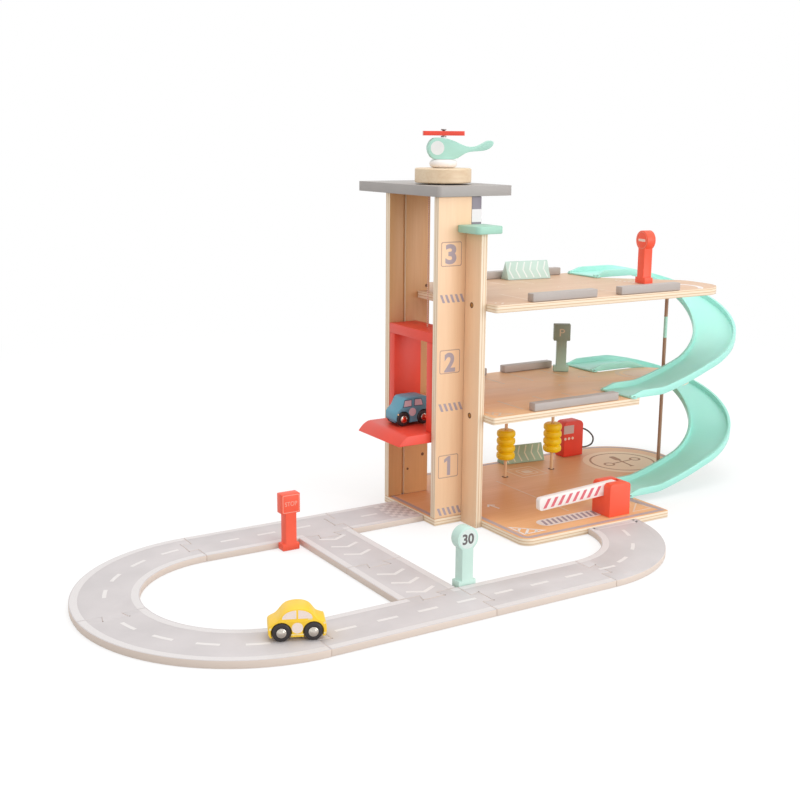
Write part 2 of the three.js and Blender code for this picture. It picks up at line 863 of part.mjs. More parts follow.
// The hose's route as shares of its reach and rise.
const hoseShares = [[0, 1], [0.35, 0.92], [0.75, 0.68], [1, 0.36], [0.92, 0.08], [0.5, -0.04], [0, 0]];

// Barrier: slotted post, and an arm that turns on its own dowel
function addBarrier() {
  const bottom = plyThickness + gap;
  const top = plyThickness + barrierHeight;
  const middleY = barrierY + barrierSize / 2;
  const back = barrierX + barrierSize;
  const pivotX = barrierX + pivotSetback;
  const pivotZ = plyThickness + pivotHeight;
  const pinReach = slotWidth / 2 + pinDepth;
  const face = roundedOutline([
    [barrierX, bottom],
    [back, bottom],
    [back, top, barrierCorner],
    [barrierX, top, barrierCorner],
  ]);
  const block = sideProfile(face, barrierY, barrierY + barrierSize, cornerSegments);
  const slotHalf = slotWidth / 2;
  const slotEnd = back - slotWall;
  const slotStart = barrierX - overrun;
  const tilt = THREE.MathUtils.degToRad(armTilt);
  const slotBottom = pivotZ - armHeight / 2 - pivotSetback * Math.tan(tilt) - runningGap * 2;
  const slot = box(slotStart, slotEnd, middleY - slotHalf, middleY + slotHalf, slotBottom, top + overrun);
  const bore = pinGeometry(pivotRadius + runningGap, pinReach + gap, pivotX, middleY, pivotZ);
  addMesh('barrier_post', cutBy(block, slot, bore), 'coralPaint');
  const tip = pivotX - armLength;
  const tail = pivotX + armHeight / 2;
  const armBottom = pivotZ - armHeight / 2;
  const armTop = pivotZ + armHeight / 2;
  const outline = roundedOutline([
    [tip, armBottom, armTipRadius],
    [tail, armBottom, armTailRadius],
    [tail, armTop, armTailRadius],
    [tip, armTop, armTipRadius],
  ]);
  const beam = sideProfile(outline, middleY - armThickness / 2, middleY + armThickness / 2, cornerSegments);
  beam.translate(-pivotX, 0, -pivotZ);
  beam.rotateY(-tilt);
  beam.translate(pivotX, 0, pivotZ);
  const pin = pinGeometry(pivotRadius, pinReach, pivotX, middleY, pivotZ);
  addMesh('barrier_arm', joined(beam, pin), 'whitePaint');
}

// A round pin along Y.
function pinGeometry(radius, reach, x, y, z) {
  const pin = new THREE.CylinderGeometry(radius, radius, reach * 2, roundSegments);
  pin.translate(x, y, z);
  return pin;
}

// Road tiles: a flared tab goes into the next tile's socket
// A tab's corners from a joint at a place, pointing along an angle, grown by a clearance.
function tabCorners(x, y, angle, grow) {
  const points = [
    [-overrun, -tabNeck / 2 - grow],
    [0, -tabNeck / 2 - grow],
    [tabLength + grow, -tabHead / 2 - grow],
    [tabLength + grow, tabHead / 2 + grow],
    [0, tabNeck / 2 + grow],
    [-overrun, tabNeck / 2 + grow],
  ];
  const cos = Math.cos(angle);
  const sin = Math.sin(angle);
  return points.map(([along, across]) => [x + along * cos - across * sin, y + along * sin + across * cos]);
}

function tabSolid(x, y, angle, grow = 0) {
  const shape = roundedOutline(tabCorners(x, y, angle, grow));
  const extra = grow > 0 ? overrun : 0;
  return board(shape, -extra, roadThickness + extra);
}

function addTile(name, geometry, tabs, sockets) {
  const withTabs = tabs.length > 0 ? joined(geometry, ...tabs.map((place) => tabSolid(...place))) : geometry;
  const tools = sockets.map((place) => tabSolid(...place, jointGap));
  addMesh(name, tools.length > 0 ? cutBy(withTabs, ...tools) : withTabs, 'roadPaint');
}

function straightTile(x0, x1, y0, y1) {
  return box(x0, x1, y0, y1, 0, roadThickness);
}

// A curve tile: a ring sector about a centre, between two angles.
function curveTile(x, y, radius, startAngle, endAngle) {
  const outer = radius + roadWidth / 2;
  const inner = radius - roadWidth / 2;
  const shape = new THREE.Shape();
  shape.absarc(x, y, outer, startAngle, endAngle, false);
  shape.absarc(x, y, inner, endAngle, startAngle, true);
  shape.closePath();
  return board(shape, 0, roadThickness, smallSegments);
}

function addRoads() {
  const half = roadWidth / 2;
  const quarter = Math.PI / 2;
  const loopRadius = -frontRoadY / 2;
  const loopY = frontRoadY / 2;
  const crossX0 = connectingRoadX - half;
  const crossX1 = connectingRoadX + half;
  const rearEdge = -half;
  const frontEdge = frontRoadY + half;
  const towerEdge = towerFront - gap;
  const curveCut = jointGap / loopRadius;

  addTile('tile_rear_lift', straightTile(tileEnd + jointGap, towerEdge, -half, half),
    [[tileEnd + jointGap, 0, Math.PI]], []);
  addTile('tile_rear_junction', straightTile(loopX, tileEnd, -half, half),
    [[connectingRoadX, rearEdge, -quarter], [loopX, 0, Math.PI]], [[tileEnd, 0, Math.PI]]);
  addTile('tile_loop_rear', curveTile(loopX, loopY, loopRadius, quarter + curveCut, Math.PI),
    [[loopX - loopRadius, loopY, -quarter]], [[loopX, 0, Math.PI]]);
  addTile('tile_loop_front', curveTile(loopX, loopY, loopRadius, Math.PI + curveCut, quarter * 3 - curveCut),
    [[loopX - jointGap, frontRoadY, 0]], [[loopX - loopRadius, loopY, -quarter]]);
  addTile('tile_front_junction', straightTile(loopX, tileEnd, frontRoadY - half, frontRoadY + half),
    [[tileEnd, frontRoadY, 0]], [[loopX, frontRoadY, 0], [connectingRoadX, frontEdge, -quarter]]);
  addTile('tile_front_straight',
    straightTile(tileEnd + jointGap, frontTileEnd, frontRoadY - half, frontRoadY + half),
    [[frontTileEnd, frontRoadY, 0]], [[tileEnd, frontRoadY, 0]]);
  addTile('tile_cross_rear', straightTile(crossX0, crossX1, crossJointY, rearEdge - jointGap),
    [[connectingRoadX, crossJointY, -quarter]], [[connectingRoadX, rearEdge, -quarter]]);
  addTile('tile_cross_front', straightTile(crossX0, crossX1, frontEdge + jointGap, crossJointY - jointGap),
    [[connectingRoadX, frontEdge + jointGap, -quarter]], [[connectingRoadX, crossJointY, -quarter]]);

  const curveStart = frontTileEnd + jointGap;
  const curveEnd = baseFront - gap;
  const outerY = frontRoadY - half + outerCurveRadius;
  const innerY = frontRoadY + half + innerCurveRadius;
  const outerAngle = Math.asin((curveEnd - outerY) / outerCurveRadius);
  const innerAngle = Math.asin((curveEnd - innerY) / innerCurveRadius);
  const curve = new THREE.Shape();
  curve.absarc(curveStart, outerY, outerCurveRadius, -quarter, outerAngle, false);
  curve.absarc(curveStart, innerY, innerCurveRadius, innerAngle, -quarter, true);
  curve.closePath();
  addTile('tile_base_curve', board(curve, 0, roadThickness), [], [[frontTileEnd, frontRoadY, 0]]);
}

// Signs: one flat profile with foot, stem and head
function signProfile(height, footHeight, headOutline) {
  const foot = signFootWidth / 2;
  const stem = signStemWidth / 2;
  const parts = [
    box(-foot, foot, -signThickness / 2, signThickness / 2, 0, footHeight),
    box(-stem, stem, -signThickness / 2, signThickness / 2, 0, height - signHead / 2),
    headOutline,
  ];
  return joined(...parts);
}

function squareHead(height) {
  const half = signHead / 2;
  return box(-half, half, -signThickness / 2, signThickness / 2, height - signHead, height);
}

function roundHead(height) {
  const disc = new THREE.CylinderGeometry(roundSignRadius, roundSignRadius, signThickness, fineSegments);
  disc.translate(0, 0, height - roundSignRadius);
  return disc;
}

function addSigns() {
  const square = signProfile(squareSignHeight, signFootHeight, squareHead(squareSignHeight));
  const round = signProfile(roundSignHeight, signFootHeight, roundHead(roundSignHeight));
  const speed = signProfile(roundSignHeight, speedSignFootHeight, roundHead(roundSignHeight));
  const halfFoot = signFootWidth / 2 + gap * 2;
  const halfThickness = signThickness / 2 + gap * 2;
  const halfRoad = roadWidth / 2;
  const stop = addMesh('sign_stop', square, 'coralPaint');
  stop.position.set(connectingRoadX - halfRoad - halfFoot - stopSignSetback, -halfRoad - halfThickness, 0);
  const limit = addMesh('sign_speed', speed, 'mintPaint');
  const speedX = connectingRoadX + halfRoad + halfFoot + speedSignSetback;
  limit.position.set(speedX, frontRoadY + halfRoad + halfThickness, 0);
  const parking = addMesh('sign_parking', square.clone(), 'sagePaint');
  parking.rotation.z = THREE.MathUtils.degToRad(parkingSignTurn);
  parking.position.set(parkingSignX, parkingSignY, middleDeckTop + gap);
  const noEntry = addMesh('sign_no_entry', round, 'coralPaint');
  noEntry.rotation.z = THREE.MathUtils.degToRad(noEntrySignTurn);
  noEntry.position.set(noEntrySignX, noEntrySignY, topDeckTop + gap);
}

// Arrow prisms: triangular bars that lie on a deck
function addPrisms() {
  const places = [
    ['arrow_prism_top', topPrismX, topPrismY, topDeckTop + gap],
    ['arrow_prism_base', basePrismX, basePrismY, plyThickness + gap],
  ];
  for (const [name, x, y, z] of places) {
    const triangle = new THREE.Shape();
    triangle.moveTo(-prismDepth / 2, 0);
    triangle.lineTo(prismDepth / 2, 0);
    triangle.lineTo(0, prismHeight);
    triangle.closePath();
    const prism = new THREE.ExtrudeGeometry(triangle, { depth: prismLength, bevelEnabled: false });
    prism.translate(0, 0, -prismLength / 2);
    prism.rotateX(Math.PI / 2);
    prism.rotateZ(Math.PI / 2);
    const mesh = addMesh(name, prism, 'sagePaint');
    mesh.rotation.z = THREE.MathUtils.degToRad(prismTurn);
    mesh.position.set(x, y, z);
  }
}

// Cars: a side profile with wheel wells, on two turned wheel sets
function carBody(car) {
  const bottom = car.wheelRadius - car.belly;
  const points = car.profileShares.map(([along, up]) => (
    new THREE.Vector2(car.noseX + along * car.length, bottom + up * (car.height - bottom))
  ));
  const profile = new THREE.Shape();
  profile.moveTo(points[0].x, points[0].y);
  profile.lineTo(points[1].x, points[1].y);
  profile.splineThru(points.slice(2));
  profile.closePath();
  const body = sideProfile(profile, -car.width / 2, car.width / 2, splineSegments);
  const boreRadius = axleRadius + runningGap;
  const wellRadius = car.wheelRadius + wellClearance;
  const wellDepth = car.wheelWidth - wheelStandout + wellClearance;
  const tools = [];
  for (const axleX of [-car.wheelbase / 2, car.wheelbase / 2]) {
    tools.push(pinGeometry(boreRadius, car.width / 2 + overrun, axleX, 0, car.wheelRadius));
    for (const side of [-1, 1]) {
      const wellY = side * (car.width / 2 + (overrun - wellDepth) / 2);
      tools.push(pinGeometry(wellRadius, (wellDepth + overrun) / 2, axleX, wellY, car.wheelRadius));
    }
  }
  return cutBy(body, ...tools);
}

// Both wheels and their axle, turned about Y
function wheelSet(car) {
  const outer = car.width / 2 + wheelStandout;
  const inner = outer - car.wheelWidth;
  const hubRadius = car.wheelRadius * hubShare;
  const half = [
    [axleRadius, inner],
    [car.wheelRadius - tyreEdge, inner],
    [car.wheelRadius, inner + tyreEdge],
    [car.wheelRadius, outer - tyreEdge],
    [car.wheelRadius - tyreEdge, outer],
    [hubRadius, outer],
    [hubRadius - hubDome, outer + hubDome],
    [0, outer + hubDome],
  ];
  const mirrored = half.map(([radius, place]) => [radius, -place]).reverse();
  const points = [...mirrored, ...half].map(([radius, place]) => new THREE.Vector2(radius, place));
  return new THREE.LatheGeometry(points, roundSegments);
}

function addCar(name, car, finish) {
  const group = new THREE.Group();
  addMesh(`${name}_body`, carBody(car), finish, group);
  for (const [end, side] of [['left', -1], ['right', 1]]) {
    const wheels = addMesh(`${name}_wheels_${end}`, wheelSet(car), 'blackRubber', group);
    wheels.position.set((side * car.wheelbase) / 2, 0, car.wheelRadius);
  }
  group.rotation.z = THREE.MathUtils.degToRad(car.turn);
  group.position.set(car.x, car.y, car.z);
  garage.add(group);
}

// Side outlines as shares of a car's length and height, from under the nose round by the tail.
const roundCarShares = [
  [0.03, 0], [0.97, 0], [1, 0.12], [1, 0.36], [0.985, 0.46], [0.925, 0.53], [0.854, 0.585], [0.812, 0.68],
  [0.746, 0.85], [0.661, 0.955], [0.548, 1], [0.426, 0.99], [0.313, 0.92], [0.238, 0.78], [0.181, 0.64],
  [0.13, 0.545], [0.04, 0.46], [0, 0.36], [0, 0.12],
];
const hatchCarShares = [
  [0.04, 0], [0.96, 0], [1, 0.12], [1, 0.42], [0.99, 0.6], [0.97, 0.78], [0.935, 0.92], [0.88, 0.98],
  [0.75, 1], [0.6, 1], [0.42, 1], [0.31, 0.985], [0.25, 0.93], [0.21, 0.82], [0.17, 0.69], [0.13, 0.6],
  [0.07, 0.53], [0.015, 0.43], [0, 0.32], [0.005, 0.1],
];

const yellowCar = {
  x: -334,
  y: -286,
  z: roadThickness + gap,
  turn: -23,
  noseX: -27.2,
  length: 54.6,
  width: 26,
  height: 31.4,
  belly: 4.8,
  wheelRadius: 9,
  wheelWidth: 6.5,
  wheelbase: 30,
  profileShares: roundCarShares,
};
const blueCar = {
  x: -25.8,
  y: 10,
  z: cabPlatformUnderside + cabBoard + gap,
  turn: 0,
  noseX: -25.2,
  length: 50,
  width: 26,
  height: 35.6,
  belly: 5,
  wheelRadius: 9,
  wheelWidth: 6,
  wheelbase: 30,
  profileShares: hatchCarShares,
};

addBasePlate();
addTower();
addSupportBoards();
addDecks();
addRamp('ramp_upper', topDeckTop, middleDeckTop, 0);
addRamp('ramp_lower', middleDeckTop, plyThickness, lowerRampShift);
addBars();
addCab();
addWinder();
addCord();
addHelicopter();
addCarWash();
addFuelPump();
addBarrier();
addRoads();
addSigns();
addPrisms();
addCar('yellow_car', yellowCar, 'yellowPaint');
addCar('blue_car', blueCar, 'bluePaint');

export default garage;
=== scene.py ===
"""Dresses the wooden toy parking garage: varnished plywood, painted blocks, moulded ramps and a
printed road, in the order in which the toy is put together. Lengths are written in millimetres
and turned to metres where a mesh is placed."""

import math

import bpy
from mathutils import Matrix, Vector


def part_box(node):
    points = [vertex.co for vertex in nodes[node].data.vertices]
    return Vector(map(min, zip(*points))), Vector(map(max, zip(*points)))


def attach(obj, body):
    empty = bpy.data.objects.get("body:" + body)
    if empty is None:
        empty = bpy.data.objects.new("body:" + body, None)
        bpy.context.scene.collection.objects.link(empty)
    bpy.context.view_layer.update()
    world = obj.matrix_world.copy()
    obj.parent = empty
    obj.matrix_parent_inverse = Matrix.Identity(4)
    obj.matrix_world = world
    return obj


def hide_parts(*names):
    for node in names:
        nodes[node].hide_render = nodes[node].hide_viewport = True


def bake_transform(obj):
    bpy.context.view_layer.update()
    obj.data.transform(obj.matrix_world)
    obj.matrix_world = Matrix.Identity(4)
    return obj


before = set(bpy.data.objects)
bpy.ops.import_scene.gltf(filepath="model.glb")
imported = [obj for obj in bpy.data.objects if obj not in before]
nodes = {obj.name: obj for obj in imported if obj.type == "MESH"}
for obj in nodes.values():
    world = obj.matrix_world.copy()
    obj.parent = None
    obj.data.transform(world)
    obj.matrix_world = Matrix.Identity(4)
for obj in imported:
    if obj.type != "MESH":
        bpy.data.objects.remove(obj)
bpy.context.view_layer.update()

# The photograph's view: a long lens from the front left, a little above the top deck, in a pale
# studio with soft light from the front right and from above. Lamps and floor are in metres.
MM = 0.001


def moved(x, y, z):
    return Matrix.Translation((x, y, z))


def turned(degrees, axis="Z"):
    return Matrix.Rotation(math.radians(degrees), 4, axis)


def placed(name, data):
    """Puts a camera, a lamp, a mesh or a curve into the scene."""
    thing = bpy.data.objects.new(name, data)
    bpy.context.scene.collection.objects.link(thing)
    return thing


eye = Vector((-811.4, -1241.6, 470.6)) * MM
pan, tilt, roll = -31.71, 77.6, 0.42
lens_data = bpy.data.cameras.new("photo_camera")
lens_data.sensor_width = 36
lens_data.lens = 54.15
lens_data.clip_end = 50
camera = placed("photo_camera", lens_data)
camera.matrix_world = moved(*eye) @ turned(pan) @ turned(tilt, "X") @ turned(roll)
bpy.context.scene.camera = camera
bpy.context.scene.view_settings.view_transform = "Standard"


def lamp(name, place, aim, size, power):
    """A square soft box that points at a spot on the toy."""
    data = bpy.data.lights.new(name, "AREA")
    data.size = size
    data.energy = power
    soft_box = placed(name, data)
    soft_box.location = place
    soft_box.rotation_euler = (Vector(aim) - Vector(place)).to_track_quat("-Z", "Y").to_euler()


lamp("soft_box_front", (0.9, -2.2, 0.62), (0.1, 0, 0.16), 1.6, 25)
lamp("soft_box_top", (0.1, -0.1, 2.4), (0.1, 0, 0.1), 2.0, 20)
lamp("soft_box_left", (-2.4, -0.9, 0.6), (0, 0, 0.2), 1.4, 3)


def new_material(name):
    """A node material, its tree and its Principled shader."""
    material = bpy.data.materials.new(name)
    material.use_nodes = True
    tree = material.node_tree
    return material, tree, tree.nodes["Principled BSDF"]


def linear(colour):
    """A 0 to 255 screen colour as the linear values that a shader takes."""
    values = [c / 255 for c in colour]
    return tuple(v / 12.92 if v <= 0.04045 else ((v + 0.055) / 1.055) ** 2.4 for v in values) + (1.0,)


def wired(tree, node, inputs):
    """Fills a node's inputs, each with a value or with another node's output."""
    for key, value in inputs.items():
        if isinstance(value, bpy.types.NodeSocket):
            tree.links.new(value, node.inputs[key])
        else:
            node.inputs[key].default_value = value
    return node


def add_node(tree, kind, inputs):
    return wired(tree, tree.nodes.new(kind), inputs)


def worked_out(tree, operation, *terms):
    """The result of a sum; each term is a number or another node's output."""
    sum_node = tree.nodes.new("ShaderNodeMath")
    sum_node.operation = operation
    return wired(tree, sum_node, dict(enumerate(terms))).outputs[0]


def ranged(tree, value, low, high, start=0, end=1):
    """A value that runs from start to end, made to run from low to high."""
    inputs = {"Value": value, "From Min": start, "From Max": end, "To Min": low, "To Max": high}
    return add_node(tree, "ShaderNodeMapRange", inputs).outputs["Result"]


def toy_place(tree):
    """Where a point lies on the toy, in metres."""
    return tree.nodes.new("ShaderNodeTexCoord").outputs["Object"]


def seen_rays(tree):
    """One for the camera and for what it sees in gloss and through clear things, else zero."""
    rays = tree.nodes.new("ShaderNodeLightPath").outputs
    direct = worked_out(tree, "MAXIMUM", rays["Is Camera Ray"], rays["Is Glossy Ray"])
    return worked_out(tree, "MAXIMUM", direct, rays["Is Transmission Ray"])


world = bpy.data.worlds.new("studio")
world.use_nodes = True
bpy.context.scene.world = world
air = world.node_tree
fill_light, backdrop_light = 0.78, 1.0
air_strength = ranged(air, seen_rays(air), fill_light, backdrop_light)
wired(air, air.nodes["Background"], {"Color": (1, 1, 1, 1), "Strength": air_strength})

floor_mesh = bpy.data.meshes.new("floor")
floor_reach, floor_drop = 14, 0.0004
floor_corners = [(floor_reach * x, floor_reach * y, 0) for x, y in ((-1, -1), (1, -1), (1, 1), (-1, 1))]
floor_mesh.from_pydata(floor_corners, [], [(0, 1, 2, 3)])
floor = placed("floor", floor_mesh)
floor.location.z = -floor_drop
paper, paper_tree, paper_shader = new_material("studio_paper")
paper_seen = seen_rays(paper_tree)
seen_glow, own_glow = 0.45, 0.15
paper_looks = {
    "Base Color": (0.42, 0.42, 0.42, 1),
    "Roughness": 0.9,
    "Specular IOR Level": 0,
    "Emission Color": (1, 1, 1, 1),
    "Emission Strength": worked_out(paper_tree, "MULTIPLY_ADD", paper_seen, seen_glow, own_glow),
}
wired(paper_tree, paper_shader, paper_looks)
fade_start, fade_end = 0.75, 1.5
paper_far = paper_tree.nodes.new("ShaderNodeVectorMath")
paper_far.operation = "LENGTH"
wired(paper_tree, paper_far, {0: toy_place(paper_tree)})
paper_fade = ranged(paper_tree, paper_far.outputs["Value"], 0, 1, fade_start, fade_end)
paper_layers = {
    "Fac": worked_out(paper_tree, "MULTIPLY", paper_fade, paper_seen),
    1: paper_shader.outputs[0],
    2: paper_tree.nodes.new("ShaderNodeEmission").outputs[0],
}
paper_mix = add_node(paper_tree, "ShaderNodeMixShader", paper_layers)
wired(paper_tree, paper_tree.nodes["Material Output"], {"Surface": paper_mix.outputs[0]})
floor_mesh.materials.append(paper)


# Base plate, decks, tower walls and support boards: birch plywood of 9 and 10 mm under satin
# varnish. The faces show long grain and the sawn edges show the light and dark layers.
def new_group(name, tree_kind, taken, given):
    """A node group with named inputs, each with a kind and a first value, and named outputs."""
    group = bpy.data.node_groups.new(name, tree_kind)
    for label, (kind, value) in taken.items():
        socket = group.interface.new_socket(name=label, in_out="INPUT", socket_type="NodeSocket" + kind)
        if value is not None:
            socket.default_value = value
    for label, kind in given.items():
        group.interface.new_socket(name=label, in_out="OUTPUT", socket_type="NodeSocket" + kind)
    return group, group.nodes.new("NodeGroupInput").outputs, group.nodes.new("NodeGroupOutput")


def noise(tree, place, scale, detail):
    inputs = {"Vector": place, "Scale": scale, "Detail": detail}
    return add_node(tree, "ShaderNodeTexNoise", inputs).outputs["Fac"]


def blended(tree, share, first, second):
    """Two colours mixed, with a share of the second."""
    mix = tree.nodes.new("ShaderNodeMix")
    mix.data_type = "RGBA"
    return wired(tree, mix, {"Factor": share, "A": first, "B": second}).outputs["Result"]


def axes_of(tree, vector):
    return add_node(tree, "ShaderNodeSeparateXYZ", {"Vector": vector}).outputs


def finish_group(tree, group, inputs):
    """Places a shared finish in a material and returns its outputs."""
    node = tree.nodes.new("ShaderNodeGroup")
    node.node_tree = group
    return wired(tree, node, inputs).outputs


def grain_group():
    """Wood grain: long soft streaks with fine pores, drawn along the first coordinate."""
    taken = {
        "Vector": ("Vector", None),
        "Light": ("Color", None),
        "Dark": ("Color", None),
        "Contrast": ("Float", 0.6),
    }
    given = {"Color": "Color", "Roughness": "Float", "Height": "Float"}
    group, entry, leave = new_group("wood_grain", "ShaderNodeTree", taken, given)

    def streaks(squeeze, scale, detail):
        """Spots squeezed across the grain until they are streaks along it."""
        inputs = {"Vector": entry["Vector"], "Scale": (1, squeeze, squeeze)}
        mapping = add_node(group, "ShaderNodeMapping", inputs)
        return noise(group, mapping.outputs["Vector"], scale, detail)

    broad_share, fine_share, cloud_share = 0.45, 0.3, 0.25
    broad = streaks(9, 4.5, 3)
    fine = streaks(26, 14, 4)
    clouds = worked_out(group, "MULTIPLY", streaks(2.2, 5, 2), cloud_share)
    mixed = worked_out(group, "MULTIPLY_ADD", fine, fine_share, clouds)
    figure = worked_out(group, "MULTIPLY_ADD", broad, broad_share, mixed)
    spread = ranged(group, figure, 0, 1, 0.36, 0.64)
    amount = worked_out(group, "MULTIPLY", spread, entry["Contrast"])
    results = {
        "Color": blended(group, amount, entry["Light"], entry["Dark"]),
        "Roughness": ranged(group, fine, 0.4, 0.56),
        "Height": fine,
    }
    wired(group, leave, results)
    return group


wood_grain = grain_group()


def grained(tree, along, light, dark, contrast):
    """Places the grain in a material, running along X or Z of the toy."""
    turns = {"X": (0, 0, 0), "Z": (0, math.pi / 2, 0)}
    mapping = add_node(tree, "ShaderNodeMapping", {"Vector": toy_place(tree), "Rotation": turns[along]})
    inputs = {
        "Vector": mapping.outputs["Vector"],
        "Light": linear(light),
        "Dark": linear(dark),
        "Contrast": contrast,
    }
    return finish_group(tree, wood_grain, inputs)


def bumped(tree, height, depth):
    """The normal of a surface raised by its height, with the bump's depth in metres."""
    inputs = {"Strength": 0.5, "Distance": depth, "Height": height}
    return add_node(tree, "ShaderNodeBump", inputs).outputs["Normal"]


def plywood(name, across, along, light, dark, layer):
    """Plywood with its layers across one axis and its face grain along another."""
    material, tree, shader = new_material(name)
    grain = grained(tree, along, light, dark, 0.75)
    face_limit, glue_start, glue_end = 0.6, 0.62, 0.86
    normal = tree.nodes.new("ShaderNodeNewGeometry").outputs["Normal"]
    facing = worked_out(tree, "ABSOLUTE", axes_of(tree, normal)[across])
    sawn = worked_out(tree, "LESS_THAN", facing, face_limit)
    wave = worked_out(tree, "PINGPONG", axes_of(tree, toy_place(tree))[across], layer * MM)
    stripe = ranged(tree, wave, 0, 1, layer * MM * glue_start, layer * MM * glue_end)
    layers = blended(tree, stripe, linear((243, 224, 198)), linear((214, 178, 138)))
    looks = {
        "Base Color": blended(tree, sawn, grain["Color"], layers),
        "Roughness": grain["Roughness"],
        "Normal": bumped(tree, grain["Height"], 0.0003),
        "Coat Weight": 0.12,
        "Coat Roughness": 0.3,
    }
    wired(tree, shader, looks)
    return material


def shaped(tree, kind, geometry, inputs):
    """One step of work on a geometry."""
    return add_node(tree, kind, {"Geometry": geometry, **inputs}).outputs["Geometry"]


def soften_group():
    """Smooths the shading of every edge flatter than an angle."""
    taken = {"Geometry": ("Geometry", None), "Angle": ("Float", math.radians(32))}
    given = {"Geometry": "Geometry"}
    tree, entry, leave = new_group("soft_shading", "GeometryNodeTree", taken, given)
    smooth = shaped(tree, "GeometryNodeSetShadeSmooth", entry["Geometry"], {})
    fold = tree.nodes.new("GeometryNodeInputMeshEdgeAngle").outputs["Unsigned Angle"]
    sharp = tree.nodes.new("FunctionNodeCompare")
    sharp.data_type = "FLOAT"
    sharp.operation = "GREATER_THAN"
    wired(tree, sharp, {"A": fold, "B": entry["Angle"]})
    creases = tree.nodes.new("GeometryNodeSetShadeSmooth")
    creases.domain = "EDGE"
    wired(tree, creases, {"Geometry": smooth, "Selection": sharp.outputs["Result"], "Shade Smooth": False})
    wired(tree, leave, {"Geometry": creases.outputs["Geometry"]})
    return tree


soft_shading = soften_group()


def finish(node, material, edge):
    """Gives a solid its material and sands its sharp edges round by a few tenths."""
    piece = nodes[node]
    piece.data.materials.clear()
    piece.data.materials.append(material)
    weld = piece.modifiers.new("weld", "WELD")
    weld.merge_threshold = 0.00002
    flat = piece.modifiers.new("whole_faces", "DECIMATE")
    flat.decimate_type = "DISSOLVE"
    flat.angle_limit = math.radians(0.3)
    if edge:
        sanded = piece.modifiers.new("sanded_edges", "BEVEL")
        sanded.width = edge * MM
        sanded.segments = 2
        sanded.limit_method = "ANGLE"
        sanded.angle_limit = math.radians(40)
    smooth = piece.modifiers.new("soft_shading", "NODES")
    smooth.node_group = soft_shading


layer_thick, wall_layer_thick = 1.8, 2
wall_light, wall_dark = (250, 213, 176), (239, 197, 156)
deck_ply = plywood("deck_plywood", "Z", "X", (222, 186, 154), (205, 164, 129), layer_thick)
# The middle deck and the base plate are copies of the deck plywood painted lighter and warmer: painted bounce
# light in the shade under the decks.
middle_ply_painted_light = plywood("middle_deck_plywood_painted_light", "Z", "X", (250, 204, 158), (234, 182, 132), layer_thick)
base_ply_painted_light = plywood("base_plywood_painted_light", "Z", "X", (238, 184, 134), (222, 163, 108), layer_thick)
wall_ply = plywood("wall_plywood", "Y", "Z", wall_light, wall_dark, wall_layer_thick)
# The rear wall is a copy of the wall plywood painted darker and more orange: painted shade from the roof and
# the front wall on its inner face.
rear_ply_painted_shade = plywood("rear_wall_plywood_painted_shade", "Y", "Z", (212, 164, 114), (198, 146, 96), wall_layer_thick)
board_ply = plywood("board_plywood", "X", "Z", wall_light, wall_dark, layer_thick)
for board, ply in (
    ("base_plate", base_ply_painted_light),
    ("middle_deck", middle_ply_painted_light),
    ("top_deck", deck_ply),
    ("tower_wall_front", wall_ply),
    ("tower_wall_rear", rear_ply_painted_shade),
    ("support_board_front", board_ply),
    ("support_board_rear", board_ply),
):
    finish(board, ply, 0.5)


# Printed marks on the boards: one thin coat of ink, here a film of a few hundredths of a
# millimetre on the varnish, with a grey border, parking bays, level numbers and a workshop mark.
def two_tone(tree, share, colour, depth):
    """A colour that darkens to a part of itself."""
    return blended(tree, share, linear(colour), linear([c * depth for c in colour]))


def ink(name, colour, roughness=0.5):
    material, tree, shader = new_material(name)
    speckle = noise(tree, toy_place(tree), 900, 2)
    wired(tree, shader, {"Base Color": two_tone(tree, speckle, colour, 0.93), "Roughness": roughness})
    return material


FILM = 0.05


def upright(x, y, z, degrees=0):
    """A face that looks to the front, then turned about Z; drawings run right and up on it."""
    return moved(x, y, z) @ turned(degrees) @ turned(90, "X")


def level(z, x=0, y=0):
    return moved(x, y, z)


def plain_mesh(thing):
    """The mesh that a curve or a modifier comes to; the object that it was made on goes."""
    bpy.context.view_layer.update()
    made = thing.evaluated_get(bpy.context.evaluated_depsgraph_get())
    mesh = bpy.data.meshes.new_from_object(made)
    bpy.data.objects.remove(thing)
    return mesh


def outlines(name, loops):
    """The mesh of closed outlines in millimetres; an outline inside another is a hole."""
    curve = bpy.data.curves.new(name, "CURVE")
    curve.dimensions = "2D"
    curve.fill_mode = "BOTH"
    curve.extrude = FILM
    for loop in loops:
        spline = curve.splines.new("POLY")
        spline.points.add(len(loop) - 1)
        for point, (x, y) in zip(spline.points, loop):
            point.co = (x, y, 0, 1)
        spline.use_cyclic_u = True
    return plain_mesh(placed(name + "_drawing", curve))


def settle(name, mesh, place, body, material=None):
    """Puts a mesh in its place on the toy and lets it ride on a body."""
    mesh.transform(Matrix.Scale(MM, 4) @ place)
    if material:
        mesh.materials.clear()
        mesh.materials.append(material)
    piece = placed(name, mesh)
    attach(piece, body)


def printed(name, loops, place, material, body="garage"):
    settle(name, outlines(name, loops), place, body, material)


